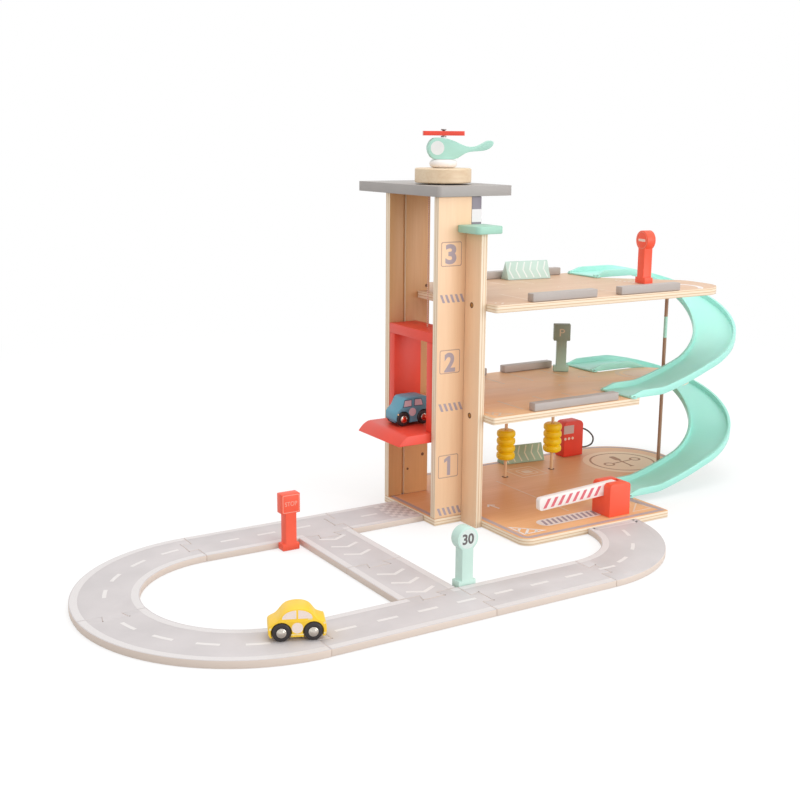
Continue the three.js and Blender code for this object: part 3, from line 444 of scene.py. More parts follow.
def row_of_marks():
    """Repeats one printed mark in a row, each copy shifted and turned by the same step."""
    taken = {
        "Geometry": ("Geometry", None),
        "Count": ("Int", 2),
        "Step": ("Vector", None),
        "Turn Step": ("Float", 0.0),
        "Ink": ("Material", None),
    }
    given = {"Geometry": "Geometry"}
    tree, entry, leave = new_group("row_of_marks", "GeometryNodeTree", taken, given)
    line = tree.nodes.new("GeometryNodeMeshLine")
    line.mode = "OFFSET"
    wired(tree, line, {"Count": entry["Count"], "Offset": entry["Step"]})
    number = tree.nodes.new("GeometryNodeInputIndex").outputs["Index"]
    turn = worked_out(tree, "MULTIPLY", number, entry["Turn Step"])
    spin = add_node(tree, "ShaderNodeCombineXYZ", {"Z": turn}).outputs["Vector"]
    inputs = {"Points": line.outputs["Mesh"], "Instance": entry["Geometry"], "Rotation": spin}
    copies = add_node(tree, "GeometryNodeInstanceOnPoints", inputs).outputs["Instances"]
    whole = shaped(tree, "GeometryNodeRealizeInstances", copies, {})
    inked = shaped(tree, "GeometryNodeSetMaterial", whole, {"Material": entry["Ink"]})
    wired(tree, leave, {"Geometry": inked})
    return tree


def grown(name, mesh, tree, settings):
    """Runs a mesh through a Geometry Nodes tree and returns the plain mesh that comes out."""
    seed = placed(name + "_seed", mesh)
    growth = seed.modifiers.new("growth", "NODES")
    growth.node_group = tree
    sockets = {item.name: item.identifier for item in tree.interface.items_tree if item.in_out == "INPUT"}
    for label, value in settings.items():
        growth[sockets[label]] = value
    return plain_mesh(seed)


mark_row = row_of_marks()


def printed_row(name, loops, count, step, place, material, body="garage", turn_step=0.0):
    """One mark printed several times, at equal steps in millimetres and degrees."""
    settings = {"Count": count, "Step": (*step, 0.0), "Turn Step": math.radians(turn_step), "Ink": material}
    mesh = grown(name, outlines(name, loops), mark_row, settings)
    settle(name, mesh, place, body, material)


def lettered(name, text, width, height, place, material, body="garage", weight=0.0):
    """Plain letters or digits, centred on the place and fitted to a width and height."""
    curve = bpy.data.curves.new(name, "FONT")
    curve.body = text
    curve.offset = weight
    curve.extrude = FILM
    mesh = plain_mesh(placed(name + "_drawing", curve))
    low = Vector([min(v.co[i] for v in mesh.vertices) for i in range(3)])
    high = Vector([max(v.co[i] for v in mesh.vertices) for i in range(3)])
    size = high - low
    fitted = Matrix.Diagonal((width / size.x, height / size.y, 1, 1))
    settle(name, mesh, place @ fitted @ moved(*(-(low + high) / 2)), body, material)


def rectangle(x0, x1, y0, y1):
    return [(x0, y0), (x1, y0), (x1, y1), (x0, y1)]


def arc(x, y, radius, start, end, count=40):
    """Points on an arc between two angles in degrees."""
    angles = [math.radians(start + (end - start) * i / count) for i in range(count + 1)]
    return [(x + radius * math.cos(a), y + radius * math.sin(a)) for a in angles]


def disc(x, y, radius, count=48):
    return arc(x, y, radius, 0, 360, count)[:-1]


def band(x, y, inner, outer, start, end, count=40):
    return arc(x, y, outer, start, end, count) + arc(x, y, inner, end, start, count)


def rounded(x0, x1, y0, y1, radius):
    return (
        arc(x1 - radius, y1 - radius, radius, 0, 90, 8)
        + arc(x0 + radius, y1 - radius, radius, 90, 180, 8)
        + arc(x0 + radius, y0 + radius, radius, 180, 270, 8)
        + arc(x1 - radius, y0 + radius, radius, 270, 360, 8)
    )


def heading(start, end):
    """The direction from one point to another."""
    return Vector((end[0] - start[0], end[1] - start[1])).normalized()


def mitred(point, first, second, distance, sharpest):
    """A corner between two directions, moved to their left; a sharp one is cut short."""
    normal = Vector((-first.y - second.y, first.x + second.x)).normalized()
    shift = distance / max(sharpest, normal.dot(Vector((-second.y, second.x))))
    return (point[0] + normal.x * shift, point[1] + normal.y * shift)


def stroke(points, width):
    """The outline of a line of constant width with mitred corners."""
    ways = [heading(start, end) for start, end in zip(points, points[1:])]
    corners = list(zip(points, ways[:1] + ways, ways + ways[-1:]))
    left, right = ([mitred(*corner, half, 0.3) for corner in corners] for half in (width / 2, -width / 2))
    return left + right[::-1]


def inset(loop, distance):
    """A closed outline moved inwards, for one that runs anticlockwise."""
    ways = [heading(start, end) for start, end in zip(loop, loop[1:] + loop[:1])]
    return [mitred(*corner, distance, 0.4) for corner in zip(loop, ways[-1:] + ways, ways)]


def rounded_frame(x0, x1, y0, y1, radius, line, inner_radius):
    """A rounded rectangle with a hole that leaves a line of it."""
    hole = rounded(x0 + line, x1 - line, y0 + line, y1 - line, inner_radius)
    return [rounded(x0, x1, y0, y1, radius), hole]


def round_line(x, y, outer, inner, count=48):
    return [disc(x, y, outer, count), disc(x, y, inner, count)]


def square_corner(x, y, size):
    """A right triangle with its square corner at a place."""
    return [(x, y), (x + size, y), (x, y + size)]


def corner_hatch(x, y, size, pitch, width):
    """A framed square corner and the bars that rule it across its long side."""
    edge, inner = width * 0.7, size - 2.4 * width
    loops = [square_corner(x, y, size), square_corner(x + edge, y + edge, inner)]
    bars = []
    along = pitch
    while along < inner - pitch * 0.6:
        far = (x + edge + along, y + edge + inner - along)
        reach_in = min(far[0] - x, far[1] - y) - width * 0.4
        near = (far[0] - reach_in, far[1] - reach_in)
        bars.append(stroke([near, (far[0] + 0.5, far[1] + 0.5)], width))
        along += pitch
    return loops, bars


border_ink = ink("border_ink", (188, 168, 170))
cream_ink = ink("cream_ink", (240, 214, 192))
pale_ink = ink("pale_ink", (255, 224, 192))
mark_ink = ink("mark_ink", (188, 134, 92))
lilac_ink = ink("lilac_ink", (172, 158, 172))
white_ink = ink("white_ink", (246, 238, 234))

base_top, middle_top, upper_top = 9, 142, 277
base_face, second_coat = level(base_top + FILM), level(base_top + FILM * 2)
base_outline = (
    [(-30, -60), (18.3, -60)]
    + arc(32.3, -165, 14, 180, 270, 10)
    + [(247, -179), (247, -82)]
    + arc(277, -82, 30, 180, 90, 14)
    + arc(350, 34, 86, -90, 90, 40)
    + arc(32.3, 106, 14, 90, 180, 10)
    + [(18.3, 60), (-30, 60)]
)
border_outer, border_inner, bay_line = 3, 9, 1.6
border = [inset(base_outline, border_outer), inset(base_outline, border_inner)]
printed("base_border", border, base_face, border_ink)
bay = rounded_frame(177, 222, 33, 77, 2, bay_line, 1.5)
tunnel = rounded_frame(188, 214, 43, 67, 4, bay_line, 3) + [rounded(194, 208, 49, 61, 2)]
printed("base_bay_mark", bay + tunnel, base_face, cream_ink)
printed("base_lane_line", [stroke([(135.5, 38), (135.5, -116)], 1.7)], base_face, cream_ink)
arrow_point = stroke([(57, -52), (62.5, -44.5), (69, -50)], 2.8)
printed("base_lane_arrow", [arrow_point], base_face, white_ink)
printed("base_lane_arrow_tail", [stroke([(63.3, -47), (65.5, -64)], 2.4)], base_face, white_ink)
hatch_frame, hatch_bars = corner_hatch(30, -162.5, 34, 7.2, 3.2)
printed("base_hatch_frame", hatch_frame, base_face, white_ink)
printed("base_hatch_bars", hatch_bars, base_face, white_ink)
printed("base_crossing", [rounded(69, 167, -151, -127.5, 11.6)], base_face, white_ink)
crossing_bar = [(74.6, -147.5), (78.4, -147.5), (83.2, -130.5), (79.4, -130.5)]
printed_row("base_crossing_bars", [crossing_bar], 11, (7.8, 0), second_coat, lilac_ink)
triangle = [(202, -161), (235, -161), (234, -132)]
printed("base_corner_mark", [triangle, inset(triangle, 1.9)], base_face, cream_ink)

workshop_x, workshop_y = 354, 28
printed("workshop_disc", [disc(workshop_x, workshop_y, 57, 96)], base_face, pale_ink)
workshop_ring = round_line(workshop_x, workshop_y, 47.5, 44.5, 96)
printed("workshop_ring", workshop_ring, second_coat, mark_ink)
spanner_reach, bar_half = 26, 1.5
bar_reach = spanner_reach - 8
spanner = [rectangle(-bar_reach, bar_reach, -bar_half, bar_half)]
for end in (-1, 1):
    spanner += round_line(end * spanner_reach, 0, 8.5, 5.3, 32)
handle = rounded(8, 30, -4.6, 4.6, 3.5)
blade = [(-26, -3.6), (-20, -1.5), (9, -1.5), (9, 1.5), (-20, 1.5), (-26, 3.6)]
for number, (tool, degrees) in enumerate(((spanner, 4), ([handle, blade], 82))):
    for part, loops in enumerate((tool[:1], tool[1:])):
        lift = base_top + FILM * (2.6 + 0.3 * part + 0.7 * number)
        place = level(lift, workshop_x, workshop_y) @ turned(degrees)
        printed(f"workshop_tool_{number}_{part}", loops, place, mark_ink)

arrow_mark = [(-4.5, -3.5), (0, 2.5), (4.5, -3.5), (4.5, -0.6), (0, 5.4), (-4.5, -0.6)]
for name, height, front_lines, rear_lines, arrows in (
    (
        "middle",
        middle_top,
        ((78.5, -91, -37), (135.5, -64, -36), (181, -63, -39), (233, -60, -39)),
        ((151, 46, 104), (199, 45, 105), (254.5, 41, 101)),
        ((145, 3), (213, 2), (273, 33), (279, 29)),
    ),
    (
        "top",
        upper_top,
        ((84, -90, -31), (228, -81, -49), (290, -84, -60)),
        ((148, 45, 96), (188, 36, 96), (240, 60, 100)),
        ((141, 2), (199, -6), (247, 13), (254, 10)),
    ),
):
    lines = [stroke([(x, y0), (x, y1)], 2.6) for x, y0, y1 in front_lines + rear_lines]
    marks = [[(x + dx, y + dy) for dx, dy in arrow_mark] for x, y in arrows]
    hatch_frame, hatch_bars = corner_hatch(27, -105.5, 28, 6.2, 2.6)
    for kind, loops in (
        ("bays", lines),
        ("arrows", marks),
        ("hatch_frame", hatch_frame),
        ("hatch_bars", hatch_bars),
    ):
        printed(f"{name}_deck_{kind}", loops, level(height + FILM), cream_ink)
roundel_ink = ink("roundel_ink", (244, 210, 184))
roundel_x, roundel_y = 364, 9.5
roundel = round_line(roundel_x, roundel_y, 36.5, 30, 72) + [disc(roundel_x, roundel_y, 25.5, 64)]
printed("middle_deck_roundel", roundel, level(middle_top + FILM), roundel_ink)
turning_line = [band(334, -80, 29, 36, -58, 112, 40)]
printed("top_deck_turning_line", turning_line, level(upper_top + FILM), white_ink)
gate_dash = rectangle(314.5, 317, 14, 18)
printed_row("top_deck_gate_dashes", [gate_dash], 8, (0.9, -7.6), level(upper_top + FILM), white_ink)

number_ink = ink("number_ink", (180, 164, 172))
frame_ink = ink("frame_ink", (196, 160, 144))
tower_front = -60 - FILM
tower_face = upright(0, tower_front, 0)
one_foot = 62.9
one = [(-12.7, 0), (-8.2, 0), (-8.2, 24.2), (-11.4, 24.2), (-17.2, 20.6), (-17.2, 16.4), (-12.7, 19)]
printed("level_number_1", [[(x, z + one_foot) for x, z in one]], tower_face, number_ink)
for digit, x, height in (("2", -11.3, 204), ("3", -12.1, 334)):
    place = upright(x, tower_front, height)
    lettered(f"level_number_{digit}", digit, 15.6, 23.8, place, number_ink, weight=0.035)
for number, low in enumerate((60, 190.4, 319.6)):
    level_frame = rounded_frame(-26, 3.4, low, low + 29, 2.5, 1, 1.8)
    printed(f"level_frame_{number}", level_frame, tower_face, frame_ink)
for number, low in enumerate((12.2, 143.9, 276.4)):
    slanted = [(-26.9, low + 9.7), (-23.5, low + 9.7), (-19.3, low), (-22.7, low)]
    printed_row(f"level_stripes_{number}", [slanted], 5, (7.05, 0), tower_face, number_ink)


# Countersunk screws that hold the boards, and the knots of the birch. A screw is brass-coloured
# steel with a cross in its head, sunk a little in a dark drilled seat.
def brushed_metal(name, colour, roughness):
    """Bare metal with fine turning marks and a little tarnish."""
    material, tree, shader = new_material(name)
    marks = noise(tree, toy_place(tree), 1400, 3)
    tarnish = noise(tree, toy_place(tree), 160, 2)
    looks = {
        "Base Color": two_tone(tree, tarnish, colour, 0.8),
        "Roughness": ranged(tree, marks, roughness - 0.08, roughness + 0.14),
        "Metallic": 1.0,
        "Normal": bumped(tree, marks, 0.00003),
    }
    wired(tree, shader, looks)
    return material


def screw_heads():
    """A seat and a domed head with a cross recess on every point of the mesh that comes in."""
    taken = {
        "Geometry": ("Geometry", None),
        "Seat Radius": ("Float", 3.4),
        "Head Radius": ("Float", 2.2),
        "Head Height": ("Float", 0.5),
        "Seat Ink": ("Material", None),
        "Head Metal": ("Material", None),
    }
    given = {"Geometry": "Geometry"}
    tree, entry, leave = new_group("screw_heads", "GeometryNodeTree", taken, given)
    radius, height = entry["Head Radius"], entry["Head Height"]
    sides, crown_share, slot_long, slot_wide = 28, 0.72, 1.15, 0.24

    def vector(**axes):
        return add_node(tree, "ShaderNodeCombineXYZ", axes).outputs["Vector"]

    cylinder = {"Vertices": sides, "Radius": entry["Seat Radius"], "Depth": FILM * 2}
    seat = add_node(tree, "GeometryNodeMeshCylinder", cylinder).outputs["Mesh"]
    crown = worked_out(tree, "MULTIPLY", radius, crown_share)
    cone = {"Vertices": sides, "Radius Top": crown, "Radius Bottom": radius, "Depth": height}
    head = add_node(tree, "GeometryNodeMeshCone", cone).outputs["Mesh"]
    recess = tree.nodes.new("GeometryNodeMeshBoolean")
    recess.operation = "DIFFERENCE"
    recess.solver = "EXACT"
    wired(tree, recess, {"Mesh 1": head})
    for x_share, y_share in ((slot_long, slot_wide), (slot_wide, slot_long)):
        wide = worked_out(tree, "MULTIPLY", radius, x_share)
        deep = worked_out(tree, "MULTIPLY", radius, y_share)
        slot = add_node(tree, "GeometryNodeMeshCube", {"Size": vector(X=wide, Y=deep, Z=height)})
        raised = {"Translation": vector(Z=height)}
        slot = shaped(tree, "GeometryNodeTransform", slot.outputs["Mesh"], raised)
        wired(tree, recess, {"Mesh 2": slot})
    screw = tree.nodes.new("GeometryNodeJoinGeometry")
    for part, material in ((seat, "Seat Ink"), (recess.outputs["Mesh"], "Head Metal")):
        dressed = shaped(tree, "GeometryNodeSetMaterial", part, {"Material": entry[material]})
        wired(tree, screw, {"Geometry": dressed})
    inputs = {"Points": entry["Geometry"], "Instance": screw.outputs["Geometry"]}
    copies = add_node(tree, "GeometryNodeInstanceOnPoints", inputs).outputs["Instances"]
    wired(tree, leave, {"Geometry": shaped(tree, "GeometryNodeRealizeInstances", copies, {})})
    return tree


# This ink prints the knots of the birch and also the dark rings of painted shade in the dowel sockets on the
# base.
knot_and_socket_shade_ink = ink("knot_and_socket_shade_brown", (112, 70, 44), 0.6)
seat_ink = ink("screw_seat", (104, 72, 50), 0.6)
brass = brushed_metal("brass_screw", (196, 150, 92), 0.34)
screw_steel = brushed_metal("steel_screw", (150, 142, 138), 0.32)
screw_tree = screw_heads()


def screws(name, spots, place, seat, head, metal):
    """Screws at places in millimetres on a face."""
    points = bpy.data.meshes.new(name)
    points.from_pydata([(x, y, 0) for x, y in spots], [], [])
    settings = {"Seat Radius": seat, "Head Radius": head, "Seat Ink": seat_ink, "Head Metal": metal}
    settle(name, grown(name, points, screw_tree, settings), place, "garage")


board_face_x, board_y = 9, 74.7
screw_heights = (273.8, 138.8)
for number, side in enumerate((-1, 1)):
    spots = [(0, height) for height in screw_heights]
    board_face = upright(board_face_x - FILM, side * board_y, 0, -90)
    screws(f"board_screws_{number}", spots, board_face, 3.5, 2.3, brass)
rear_wall_front = 50
rear_wall_face = upright(0, rear_wall_front - FILM, 0)
for number, (x, height, radius) in enumerate(((25, 283, 2), (22, 60, 2.2), (-1, 43, 1.6))):
    printed(f"wall_knot_{number}", [disc(x, height, radius, 20)], rear_wall_face, knot_and_socket_shade_ink)


# Painted pieces: solid wood and plywood with a satin spray coat that fills the grain but lets a
# trace of it show, rubbed a little thinner here and there.
def coat_group():
    """Spray paint: slow shifts of tone, a fine orange-peel height and an uneven gloss."""
    taken = {"Vector": ("Vector", None), "Color": ("Color", None), "Gloss": ("Float", 0.45)}
    given = {"Color": "Color", "Roughness": "Float", "Height": "Float"}
    group, entry, leave = new_group("spray_coat", "ShaderNodeTree", taken, given)
    tone = noise(group, entry["Vector"], 28, 3)
    tint = group.nodes.new("ShaderNodeVectorMath")
    tint.operation = "SCALE"
    wired(group, tint, {0: entry["Color"], "Scale": ranged(group, tone, 0.94, 1.03, 0.3, 0.7)})
    results = {
        "Color": tint.outputs["Vector"],
        "Roughness": worked_out(group, "MULTIPLY_ADD", tone, 0.14, entry["Gloss"]),
        "Height": noise(group, entry["Vector"], 650, 2),
    }
    wired(group, leave, results)
    return group


spray_coat = coat_group()


usual_gloss, usual_peel = 0.4, 0.00006


def sprayed(tree, shader, colour, gloss, peel):
    """Sprays a shader; the colour is a value or another node's output."""
    inputs = {"Vector": toy_place(tree), "Color": colour, "Gloss": gloss}
    coat = finish_group(tree, spray_coat, inputs)
    normal = bumped(tree, coat["Height"], peel)
    wired(tree, shader, {"Base Color": coat["Color"], "Roughness": coat["Roughness"], "Normal": normal})


def paint(name, colour, gloss=usual_gloss, peel=usual_peel):
    material, tree, shader = new_material(name)
    sprayed(tree, shader, linear(colour), gloss, peel)
    return material


def painted_over(material, axis, operation, limits, mask_from, colour):
    """Lays another colour over a finish where a place or a normal passes a test on one axis."""
    tree = material.node_tree
    shader = tree.nodes["Principled BSDF"]
    under = shader.inputs["Base Color"].links[0].from_socket
    mask = worked_out(tree, operation, axes_of(tree, mask_from(tree))[axis], *limits)
    wired(tree, shader, {"Base Color": blended(tree, mask, under, linear(colour))})


# Roof plate, roof post and bumper bars: plain blocks in warm grey paint; the post has white
# rings like a parking bollard.
finish("roof_plate", paint("roof_grey", (170, 164, 160)), 1.4)
grey_paint = paint("grey_paint", (184, 174, 168))
for bar in (
    "bar_top_front_left",
    "bar_top_front_right",
    "bar_top_rear",
    "bar_middle_front",
    "bar_middle_rear_left",
    "bar_middle_rear_right",
):
    finish(bar, grey_paint, 1.0)
finish("roof_post", paint("post_grey", (140, 132, 142)), 0.8)
ring_paint = paint("post_white", (240, 233, 235))
post_low, post_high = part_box("roof_post")
ring_low, ring_high = 370.6, 15.2
for side, start, end, face in (
    ("front", post_low.x, post_high.x, upright(0, post_low.y / MM - FILM, 0)),
    ("side", post_low.y, post_high.y, upright(post_high.x / MM + FILM, 0, 0, 90)),
):
    ring = rectangle(start / MM, end / MM, ring_low, ring_low + ring_high)
    printed_row(f"post_rings_{side}", [ring], 4, (0, -2 * ring_high), face, ring_paint)

# Caps of the support boards: small rounded shelves of wood in mint paint, glued on.
cap_mint = paint("cap_mint", (166, 212, 192))
for cap in ("cap_front", "cap_rear"):
    finish(cap, cap_mint, 1.2)


# Poles and dowels: plain round sticks. The long pole is of a darker wood with a mint band between
# the two decks, and each dowel of the car wash stands in a dark ring of painted shade on the base.
def bare_wood(name, along, light, dark, contrast=0.7):
    material, tree, shader = new_material(name)
    grain = grained(tree, along, light, dark, contrast)
    looks = {"Base Color": grain["Color"], "Roughness": 0.45, "Normal": bumped(tree, grain["Height"], 0.0002)}
    wired(tree, shader, looks)
    return material


pole_wood = bare_wood("pole_wood", "Z", (166, 126, 100), (136, 100, 78))
band_middle, band_half_high = 0.217, 0.0146
painted_over(pole_wood, "Z", "COMPARE", (band_middle, band_half_high), toy_place, (176, 224, 206))
finish("deck_pole", pole_wood, 0)
dowel_wood = bare_wood("dowel_wood", "Z", (236, 204, 166), (214, 174, 130))
for dowel in ("wash_dowel_left", "wash_dowel_right"):
    finish(dowel, dowel_wood, 0)
    dowel_low, dowel_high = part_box(dowel)
    middle = (dowel_low + dowel_high) / 2 / MM
    # A dark ring round the dowel's foot: painted shade in its socket.
    seat = [disc(middle.x, middle.y, 4.6, 32), disc(middle.x, middle.y, 2.3, 24)]
    printed(dowel + "_seat", seat, base_face, knot_and_socket_shade_ink)

# Ramps: two channels moulded from mint plastic with a satin gloss, screwed down at their tabs.
# The plastic lets a little light in and has faint flow marks.
ramp_plastic, plastic_tree, plastic_shader = new_material("ramp_plastic")
flow = noise(plastic_tree, toy_place(plastic_tree), 9, 2)
plastic_looks = {
    "Base Color": two_tone(plastic_tree, flow, (176, 240, 226), 0.965),
    "Roughness": ranged(plastic_tree, flow, 0.26, 0.38),
    "Subsurface Weight": 0.2,
    "Subsurface Radius": (0.004, 0.005, 0.004),
}
wired(plastic_tree, plastic_shader, plastic_looks)
for ramp in ("ramp_upper", "ramp_lower"):
    finish(ramp, ramp_plastic, 0.5)
tab_thick, tab_seat, tab_screw = 2.5, 2.3, 1.7
for name, shift, mouth_top, landing_top in (
    ("upper", 0, upper_top, middle_top),
    ("lower", 2, middle_top, base_top),
):
    for end, x, rows, height in (
        ("mouth", 311.5, (51, 109), mouth_top),
        ("landing", 239.5, (-55, -113), landing_top),
    ):
        spots = [(x + shift, y) for y in rows]
        tab_face = level(height + tab_thick + FILM)
        screws(f"ramp_{name}_{end}_screws", spots, tab_face, tab_seat, tab_screw, screw_steel)


# Lift cab: four boards in glossy red paint, glued up, hung on a twisted cotton cord that goes up
# through the roof and half round the drum.
def twisted(name, dark, light, scale, distortion, roughness, depth):
    """A cord of slanting strands in two tones."""
    material, tree, shader = new_material(name)
    strands = tree.nodes.new("ShaderNodeTexWave")
    strands.bands_direction = "DIAGONAL"
    wired(tree, strands, {"Vector": toy_place(tree), "Scale": scale, "Distortion": distortion})
    strand = strands.outputs["Fac"]
    looks = {
        "Base Color": blended(tree, strand, linear(dark), linear(light)),
        "Roughness": roughness,
        "Normal": bumped(tree, strand, depth),
    }
    wired(tree, shader, looks)
    return material


cab_red = paint("cab_red", (236, 74, 54), 0.34)
for board in ("cab_platform", "cab_roof", "cab_side_front", "cab_side_rear"):
    finish(board, cab_red, 0.8)
cord_cotton = twisted("cord_cotton", (206, 158, 136), (238, 202, 182), 260, 0.6, 0.85, 0.0003)
cord_low, cord_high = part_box("lift_cord")
knob_x, cord_x, cord_radius, drum_reach = 15, -5, 0.8, 16.1
roof_underside, wrap_lead, wrap_steps = 401, 1.6, 12
wrap_height = cord_high.z / MM - cord_radius
first_touch = 180 + math.degrees(math.acos(drum_reach / (knob_x - cord_x)))
cord_route = [(cord_x, 0, z) for z in (cord_low.z / MM, roof_underside, wrap_height - wrap_lead)]
for x, y in arc(knob_x, 0, drum_reach, first_touch, first_touch + 180, wrap_steps):
    cord_route.append((x, y, wrap_height))
cord_curve = bpy.data.curves.new("lift_cord_path", "CURVE")
cord_curve.dimensions = "3D"
cord_curve.bevel_depth = cord_radius * MM
cord_curve.bevel_resolution = 3
cord_curve.use_fill_caps = True
cord_points = cord_curve.splines.new("POLY").points
cord_points.add(len(cord_route) - 1)
for point, spot in zip(cord_points, cord_route):
    point.co = (*(value * MM for value in spot), 1)
cord_mesh = plain_mesh(placed("lift_cord_path", cord_curve))
cord_mesh.materials.clear()
cord_mesh.materials.append(cord_cotton)
cord_mesh.shade_smooth()
hoist_cord = placed("hoist_cord", cord_mesh)
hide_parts("lift_cord")
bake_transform(hoist_cord)

# Winding knob and drum: turned beech, its grain across the top and in fine rings on the side,
# left bare.
knob_wood = bare_wood("knob_beech", "X", (240, 220, 190), (222, 192, 156), 0.9)
for turned_piece in ("winding_knob", "winding_drum"):
    finish(turned_piece, knob_wood, 0)


# Helicopter: a flat mint body with a round white window on each side, on a white pad with a
# soft rim, and a red rotor board held by a steel screw.
def both_faces(half_thick, x=0, z=0):
    """The front and the back of a flat piece: a number, a side and a face for drawings."""
    for number, side in enumerate((-1, 1)):
        yield number, side, upright(x, side * (half_thick + FILM), z, 0 if side < 0 else 180)


helicopter_turn = -25
mint_paint = paint("mint_paint", (176, 222, 206))
white_paint = paint("white_paint", (246, 240, 237))
finish("helicopter_pad", white_paint, 0)
finish("helicopter_body", mint_paint, 0.6)
finish("helicopter_rotor", cab_red, 0.5)
finish("rotor_screw", screw_steel, 0)
body_half_thick, window_ahead, window_height, window_radius = 8, -8.4, 456.2, 8.3
window_paint = paint("window_white", (232, 233, 231))
helicopter_stand = moved(knob_x, 0, 0) @ turned(helicopter_turn)
for number, _, face in both_faces(body_half_thick, window_ahead, window_height):
    window = [disc(0, 0, window_radius, 48)]
    printed(f"helicopter_window_{number}", window, helicopter_stand @ face, window_paint, "helicopter")

# Car wash: two beaded rollers turned from wood, in mustard paint, that spin on the dowels.
mustard_paint = paint("mustard_paint", (248, 208, 4))
for roller in ("wash_roller_left", "wash_roller_right"):
    finish(roller, mustard_paint, 0)

# Fuel pump: a block in red paint with a printed screen and three printed buttons. Its hose is a
# loop of braided elastic cord.
pump_red = paint("pump_red", (228, 62, 42), 0.36)
finish("pump_body", pump_red, 1.0)
pump_face = upright(0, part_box("pump_body")[0].y / MM - FILM, 0)
screen_ink = ink("screen_ink", (208, 178, 172))
screen = rectangle(292.9, 311.5, 44.1, 56.6)
printed("pump_screen", [screen], pump_face, screen_ink)
button = disc(296, 36.8, 2.1, 24)
printed_row("pump_buttons", [button], 3, (6.8, 0), pump_face, cream_ink)
hose_rubber = twisted("hose_rubber", (44, 37, 36), (78, 66, 62), 300, 1.2, 0.6, 0.0002)
finish("pump_hose", hose_rubber, 0)

# Barrier: a coral block with a slot, and a white arm with slanted red stripes on both faces,
# which turns on a pin and hangs a little low.
coral_paint = paint("coral_paint", (250, 93, 64), 0.36)
finish("barrier_post", coral_paint, 1.2)
finish("barrier_arm", white_paint, 0.8)
stripe_red = ink("stripe_red", (226, 112, 124))
arm_half_thick, arm_droop, stripe_step = 3.7, -2.8, 11.3
pivot_x, pivot_y, pivot_height = 176, -148.5, 43.5
arm_stand = moved(pivot_x, pivot_y, pivot_height) @ turned(arm_droop, "Y")
stripe = [(-111, -5.8), (-106, -5.8), (-98.5, 5.4), (-103.5, 5.4)]
for number, side, face in both_faces(arm_half_thick):
    mark = [(-side * x, z) for x, z in stripe]
    step = (-side * stripe_step, 0)
    printed_row(f"barrier_stripes_{number}", [mark], 8, step, arm_stand @ face, stripe_red, "barrier")

# Road tiles: plywood in warm grey print with paler kerbs, white dashes and chevrons, joined by
# dovetails. The sawn edges keep a warmer, browner tone.
road_top, road_half, kerb_in, kerb_wide, joint_gap = 7.5, 35.5, 5, 7.6, 0.5
loop_x, loop_y, loop_radius = -320, -147.25, 147.25
cross_x, front_y = -168.7, -294.5
lift_joint, junction_joint, curve_joint, crossroad_end = -30, -132, 26, 34


def normals(tree):
    return tree.nodes.new("ShaderNodeNewGeometry").outputs["Normal"]


road_grey = paint("road_grey", (206, 200, 200), 0.5, 0.00005)
painted_over(road_grey, "Z", "LESS_THAN", (0.5,), normals, (222, 206, 194))
for tile in sorted(n for n in nodes if n.startswith("tile_")):
    finish(tile, road_grey, 0.7)
kerb_ink = ink("kerb_ink", (228, 223, 222))
dash_ink = ink("dash_ink", (236, 231, 229))
film_level = level(road_top + FILM)


def straight_kerb(x0, x1, y):
    return rectangle(x0 + joint_gap, x1 - joint_gap, y - kerb_wide / 2, y + kerb_wide / 2)


def cross_kerb(x, y0, y1):
    return rectangle(x - kerb_wide / 2, x + kerb_wide / 2, y0, y1)


def corner_kerb(start, x, y, end):
    """A kerb that runs along X and turns off along Y."""
    return stroke([(start, y), (x, y), (x, end)], kerb_wide)


def round_kerb(x, y, radius, start, end):
    return band(x, y, radius - kerb_wide / 2, radius + kerb_wide / 2, start, end)


kerb_line = road_half - kerb_in
left_line, right_line = cross_x - kerb_line, cross_x + kerb_line
near_kerb, far_kerb = front_y - kerb_line, front_y + kerb_line
left_start, right_start = loop_x + joint_gap, junction_joint - joint_gap
kerbs = {
    "rear_lift": [straight_kerb(junction_joint, lift_joint, side * kerb_line) for side in (1, -1)],
    "rear_junction": [
        straight_kerb(loop_x, junction_joint, kerb_line),
        corner_kerb(left_start, left_line, -kerb_line, -crossroad_end),
        corner_kerb(right_start, right_line, -kerb_line, -crossroad_end),
    ],
    "front_junction": [
        straight_kerb(loop_x, junction_joint, near_kerb),
        corner_kerb(left_start, left_line, far_kerb, front_y + crossroad_end),
        corner_kerb(right_start, right_line, far_kerb, front_y + crossroad_end),
    ],
    "front_straight": [straight_kerb(junction_joint, curve_joint, y) for y in (far_kerb, near_kerb)],
    "cross_rear": [cross_kerb(x, -149.5, -35.3) for x in (left_line, right_line)],
    "cross_front": [cross_kerb(x, -258.4, -150.8) for x in (left_line, right_line)],
    "loop_rear": [],
    "loop_front": [],
    "base_curve": [
        round_kerb(26.3, -164, 166 - kerb_in, -89.7, -6.0),
        round_kerb(26.3, -171, 88 + kerb_in, -89.4, -6.6),
        rectangle(119, 187, -187, -181),
    ],
}
for side in (-1, 1):
    for name, start, end in (("loop_rear", 90.3, 179.8), ("loop_front", 180.4, 269.6)):
        kerbs[name].append(round_kerb(loop_x, loop_y, loop_radius + side * kerb_line, start, end))
for name, loops in kerbs.items():
    printed(f"kerb_{name}", loops, film_level, kerb_ink)

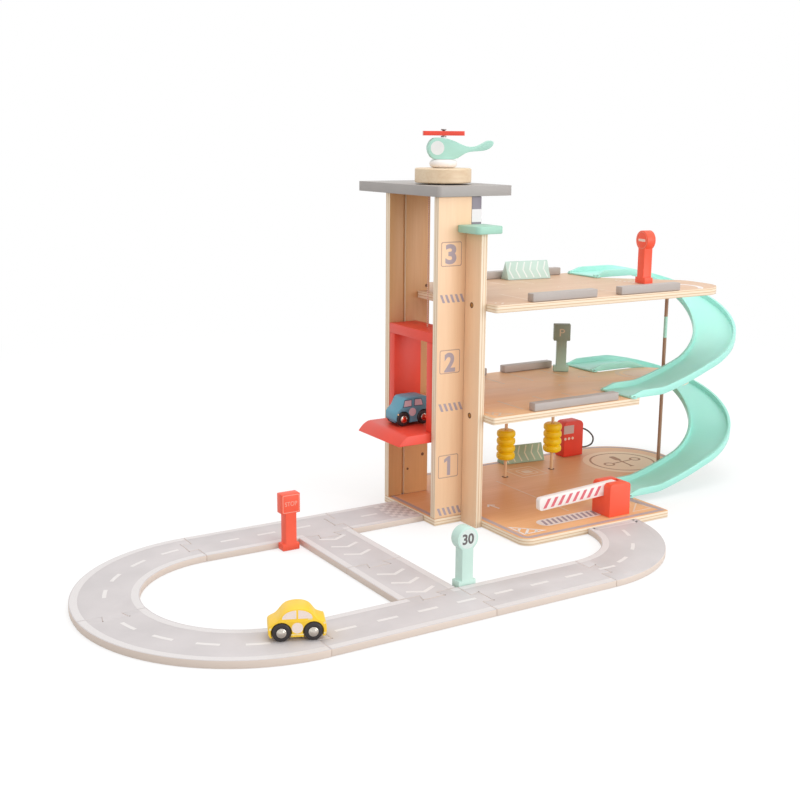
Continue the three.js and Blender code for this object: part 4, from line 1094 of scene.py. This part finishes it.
dash_long, dash_wide, dash_pitch = 23, 4.2, 47
for name, x, y, count in (("rear", -288, 0, 3), ("lift", -100, 0, 1), ("front", -297, front_y, 8)):
    dash = rectangle(x, x + dash_long, y - dash_wide / 2, y + dash_wide / 2)
    printed_row(f"road_dashes_{name}", [dash], count, (dash_pitch, 0), film_level, dash_ink)
dash_step = math.degrees(dash_pitch / loop_radius)
dash_turn = math.degrees(dash_long / loop_radius)
loop_centre = level(road_top + FILM, loop_x, loop_y)
for name, start in (("loop_rear", 98), ("loop_front", 189.5)):
    dash = band(0, 0, loop_radius - dash_wide / 2, loop_radius + dash_wide / 2, start, start + dash_turn, 8)
    printed_row(f"road_dashes_{name}", [dash], 4, (0, 0), loop_centre, dash_ink, turn_step=dash_step)
curve_dash = band(0, 0, 124, 124 + dash_wide, -72, -62, 8)
curve_centre = level(road_top + FILM, curve_joint, -168)
printed_row("road_dashes_curve", [curve_dash], 3, (0, 0), curve_centre, dash_ink, turn_step=22.5)
chevron = stroke([(cross_x - 17, 9), (cross_x, 0), (cross_x + 17, 9)], dash_wide)
for number, tip in enumerate((-60, -193)):
    place = level(road_top + FILM, 0, tip)
    printed_row(f"road_chevrons_{number}", [chevron], 3, (0, -29.7), place, dash_ink)
for number in (0, 1):
    x, y = -67 + 7 * number, -19.9 - 6.6 * number
    column = [rectangle(x, x + 6.8, y + 13.2 * row, y + 13.2 * row + 6.4) for row in range(4)]
    printed_row(f"road_checker_{number}", column, 3 - number, (14, 0), film_level, dash_ink)

# Pin marks at the corners of the dovetails: small round dots, two to a joint, left in the print
# by the cutter.
pin_reach, pin_side, pin_radius = 12.3, 13.6, 0.8
pins = []
for x, y, degrees in (
    (junction_joint, 0, 180),
    (loop_x, 0, 180),
    (cross_x, -35.5, -90),
    (cross_x, -150, -90),
    (cross_x, -259, -90),
    (-466.75, loop_y, -90),
    (loop_x, front_y, 0),
    (junction_joint, front_y, 0),
    (curve_joint, front_y, 0),
):
    along = Vector((math.cos(math.radians(degrees)), math.sin(math.radians(degrees))))
    for side in (-1, 1):
        across = Vector((-along.y, along.x)) * side
        spot = Vector((x, y)) + along * pin_reach + across * pin_side
        pins.append(disc(spot.x, spot.y, pin_radius, 12))
printed("road_pin_marks", pins, film_level, ink("pin_brown", (138, 122, 112)))

# Signs: flat painted blocks with printed faces: a stop word, a speed, a parking letter and a bar.
# The parking sign's colour has painted shade towards its head, under the top deck, and painted
# light bounced from the middle deck towards its foot.
sage_paint, sage_tree, sage_shader = new_material("sage_paint")
# Painted shade at the head of the parking sign and painted bounce light at its foot, blended by height.
sage_bounce_below, sage_shade_above = 0.145, 0.188
sage_height = axes_of(sage_tree, toy_place(sage_tree))["Z"]
sage_bounce_share = ranged(sage_tree, sage_height, 0, 1, sage_shade_above, sage_bounce_below)
sage_shaded_colour = blended(sage_tree, sage_bounce_share, linear((140, 150, 132)), linear((172, 204, 186)))
sprayed(sage_tree, sage_shader, sage_shaded_colour, usual_gloss, usual_peel)
for sign, sign_paint in (
    ("sign_stop", coral_paint),
    ("sign_speed", paint("speed_mint", (199, 228, 217))),
    ("sign_parking", sage_paint),
    ("sign_no_entry", coral_paint),
):
    finish(sign, sign_paint, 0.9)
sign_half_thick, square_sign_height, round_sign_height, seat_gap = 6.5, 56.25, 58, 0.3


def sign_faces(x, y, z, degrees):
    """Both faces of a sign: the one that it shows and its back."""
    stand = moved(x, y, z) @ turned(degrees)
    return [(number, stand @ face) for number, _, face in both_faces(sign_half_thick)]


def middle_of(node):
    low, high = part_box(node)
    return (low.x + high.x) / 2 / MM, (low.y + high.y) / 2 / MM


sign_pink = ink("sign_pink", (250, 170, 150))
for number, face in sign_faces(*middle_of("sign_stop"), square_sign_height, 0):
    edge_line = rounded_frame(-10.6, 10.6, -10.6, 10.6, 1.8, 0.7, 1.4)
    printed(f"stop_outline_{number}", edge_line, face, sign_pink, "stop_sign")
    lettered(f"stop_word_{number}", "STOP", 15.6, 5.2, face, sign_pink, "stop_sign", 0.008)
speed_white = ink("speed_white", (226, 238, 233))
digit_grey = ink("digit_grey", (104, 98, 98))
for number, face in sign_faces(*middle_of("sign_speed"), round_sign_height, 0):
    printed(f"speed_disc_{number}", [disc(0, 0, 10.6, 48)], face, speed_white, "speed_sign")
    lifted = face @ moved(0, 0, FILM * 2)
    lettered(f"speed_number_{number}", "30", 14.4, 11.6, lifted, digit_grey, "speed_sign", 0.03)
parking_ink = ink("parking_ink", (214, 190, 158))
parking_height = middle_top + seat_gap + square_sign_height
for number, face in sign_faces(276, 80.6, parking_height, -34):
    lettered(f"parking_letter_{number}", "P", 7.4, 10.4, face, parking_ink, "parking_sign")
sign_bar = ink("sign_bar", (250, 226, 214))
no_entry_height = upper_top + seat_gap + round_sign_height
no_entry_bar = rounded(-7.5, 7.5, -1.7, 1.7, 0.8)
for number, face in sign_faces(325.5, -28.5, no_entry_height, -96):
    printed(f"no_entry_ring_{number}", round_line(0, 0, 11.2, 10.7), face, sign_pink, "no_entry_sign")
    printed(f"no_entry_bar_{number}", [no_entry_bar], face, sign_bar, "no_entry_sign")

# Arrow prisms: three-sided bars of painted wood with printed chevrons on both slopes.
prism_deep, prism_high, prism_turn = 10.5, 25, -7
slope = math.hypot(prism_deep, prism_high)
lean = math.degrees(math.atan2(prism_deep, prism_high))
finish("arrow_prism_top", paint("prism_mint", (196, 222, 212)), 0.8)
finish("arrow_prism_base", paint("prism_sage", (152, 176, 148)), 0.8)
top_marks = ink("top_prism_marks", (238, 247, 243))
base_marks = ink("base_prism_marks", (216, 216, 190))
for name, x, y, deck, marks in (
    ("top", 217, 91.5, upper_top, top_marks),
    ("base", 228, 105, base_top, base_marks),
):
    for number, (way, side) in enumerate(((1, 0), (-1, 180))):
        stand = moved(x, y, deck + seat_gap) @ turned(side + prism_turn)
        face = stand @ upright(0, -prism_deep - FILM, 0) @ turned(-lean, "X")
        arrow = stroke([(way * -25.5, 2.5), (way * -30, slope * 0.52), (way * -25.5, slope - 2)], 2.0)
        row_name = f"prism_{name}_arrows_{number}"
        printed_row(row_name, [arrow], 6, (way * 11, 0), face, marks, f"prism_{name}")


# Cars: shaped blocks in bright paint with printed windows and lamps, and black wheels with domed
# metal hub caps.
def dome(name, centre, spin, side, radius, height, material, body):
    """A domed hub cap on the outer face of a wheel, turned from a profile."""
    rings, around = 5, 24
    points, faces = [], []
    for ring in range(rings):
        angle = ring / rings * math.pi / 2
        lift = side * height * math.sin(angle)
        points += [(x, lift, z) for x, z in disc(0, 0, radius * math.cos(angle), around)]
    points += [(0, side * height, 0), (0, -side * 0.3, 0)]
    crown, back = len(points) - 2, len(points) - 1
    last = (rings - 1) * around
    for i in range(around):
        j = (i + 1) % around
        for low in range(0, last, around):
            faces.append((low + i, low + j, low + around + j, low + around + i))
        faces += [(last + i, last + j, crown), (j, i, back)]
    if side > 0:
        faces = [face[::-1] for face in faces]
    mesh = bpy.data.meshes.new(name)
    mesh.from_pydata(points, [], faces)
    mesh.shade_smooth()
    settle(name, mesh, moved(*centre) @ turned(spin), body, material)


car_half_wide, wheel_radius, wheelbase = 13, 9, 30
wheel_black = paint("wheel_black", (46, 40, 42), 0.34, 0.00008)


def car_prints(name, kind, stand, loops, material):
    """The same drawing on both sides of a car, seen the right way round from the driver's side."""
    for number, side, face in both_faces(car_half_wide):
        drawing = [[(-side * x, y) for x, y in loop] for loop in loops]
        printed(f"{name}_{kind}_{number}", drawing, stand @ face, material, f"{name}_car")


def car_wheels(name, stand, spin, rim, centre_finish):
    """Black wheels with a domed hub cap on each: a bright rim and its centre."""
    for number, side in enumerate((-1, 1)):
        for end, along in (("left", -1), ("right", 1)):
            for part, reach_out, share, height, metal in (
                ("hub", 1.3, 0.54, 1.0, rim),
                ("hub_centre", 1.85, 0.36, 0.9, centre_finish),
            ):
                centre = Vector((along * wheelbase / 2, side * (car_half_wide + reach_out), wheel_radius))
                cap_name, body = f"{name}_{part}_{end}_{number}", f"{name}_wheels_{end}"
                dome(cap_name, stand @ centre, spin, side, wheel_radius * share, height, metal, body)
    for end in ("left", "right"):
        finish(f"{name}_car_wheels_{end}", wheel_black, 0)


finish("yellow_car_body", paint("yellow_paint", (252, 206, 52), 0.34), 1.6)
finish("blue_car_body", paint("blue_paint", (96, 158, 180), 0.36), 1.6)
yellow_turn = -23
yellow_stand = moved(-334, -286, 7.8) @ turned(yellow_turn)
yellow_glass = ink("yellow_car_glass", (250, 232, 222), 0.3)
lamp_cream = ink("lamp_cream", (252, 232, 170), 0.3)


def quarter(direction):
    """One half of the round side window."""
    sill, middle_gap = 22.2, 0.9
    rim = [
        (direction * (middle_gap + 13.3 * math.cos(math.radians(a))), sill + 8.3 * math.sin(math.radians(a)))
        for a in range(0, 91, 6)
    ]
    return rim + [(direction * middle_gap, sill)]


car_prints("yellow", "windows", yellow_stand, [quarter(-1), quarter(1), disc(0, 13, 5.3, 40)], yellow_glass)
yellow_trim = [rounded(10, 14, 20.9, 22.1, 0.5), rectangle(-6, 6, 6, 7)]
yellow_lamps = [disc(-25.4, 13, 1.2, 16), disc(25.5, 17, 1.1, 16), disc(25.5, 7, 0.9, 16)]
car_prints("yellow", "trim", yellow_stand, yellow_trim + yellow_lamps, lamp_cream)
hub_silver = brushed_metal("hub_silver", (226, 218, 208), 0.2)
car_wheels("yellow", yellow_stand, yellow_turn, hub_silver, hub_silver)

blue_stand = moved(-25.8, 10, 116.3)
blue_glass = ink("blue_car_glass", (222, 204, 214), 0.3)
blue_outline = ink("blue_car_outline", (64, 104, 126), 0.4)
blue_windows = [
    [(-15.8, 23.5), (-2.6, 24), (-2.7, 33), (-13.8, 33)],
    [(0.3, 24.2), (14.3, 24), (11.3, 33.2), (0.9, 33.6)],
]
blue_panes = [inset(loop, 0.9) for loop in blue_windows]
for kind, loops, print_ink in (
    ("window_outline", blue_windows + blue_panes, blue_outline),
    ("windows", blue_panes, blue_glass),
    ("door_circle", [disc(-1.9, 17, 5.2, 40)], blue_glass),
    ("lamps", [disc(-22.6, 15.5, 1.1, 16), disc(23, 17, 1.0, 16)], lamp_cream),
):
    car_prints("blue", kind, blue_stand, loops, print_ink)
hub_copper = brushed_metal("hub_copper", (232, 104, 78), 0.2)
car_wheels("blue", blue_stand, 0, hub_silver, hub_copper)
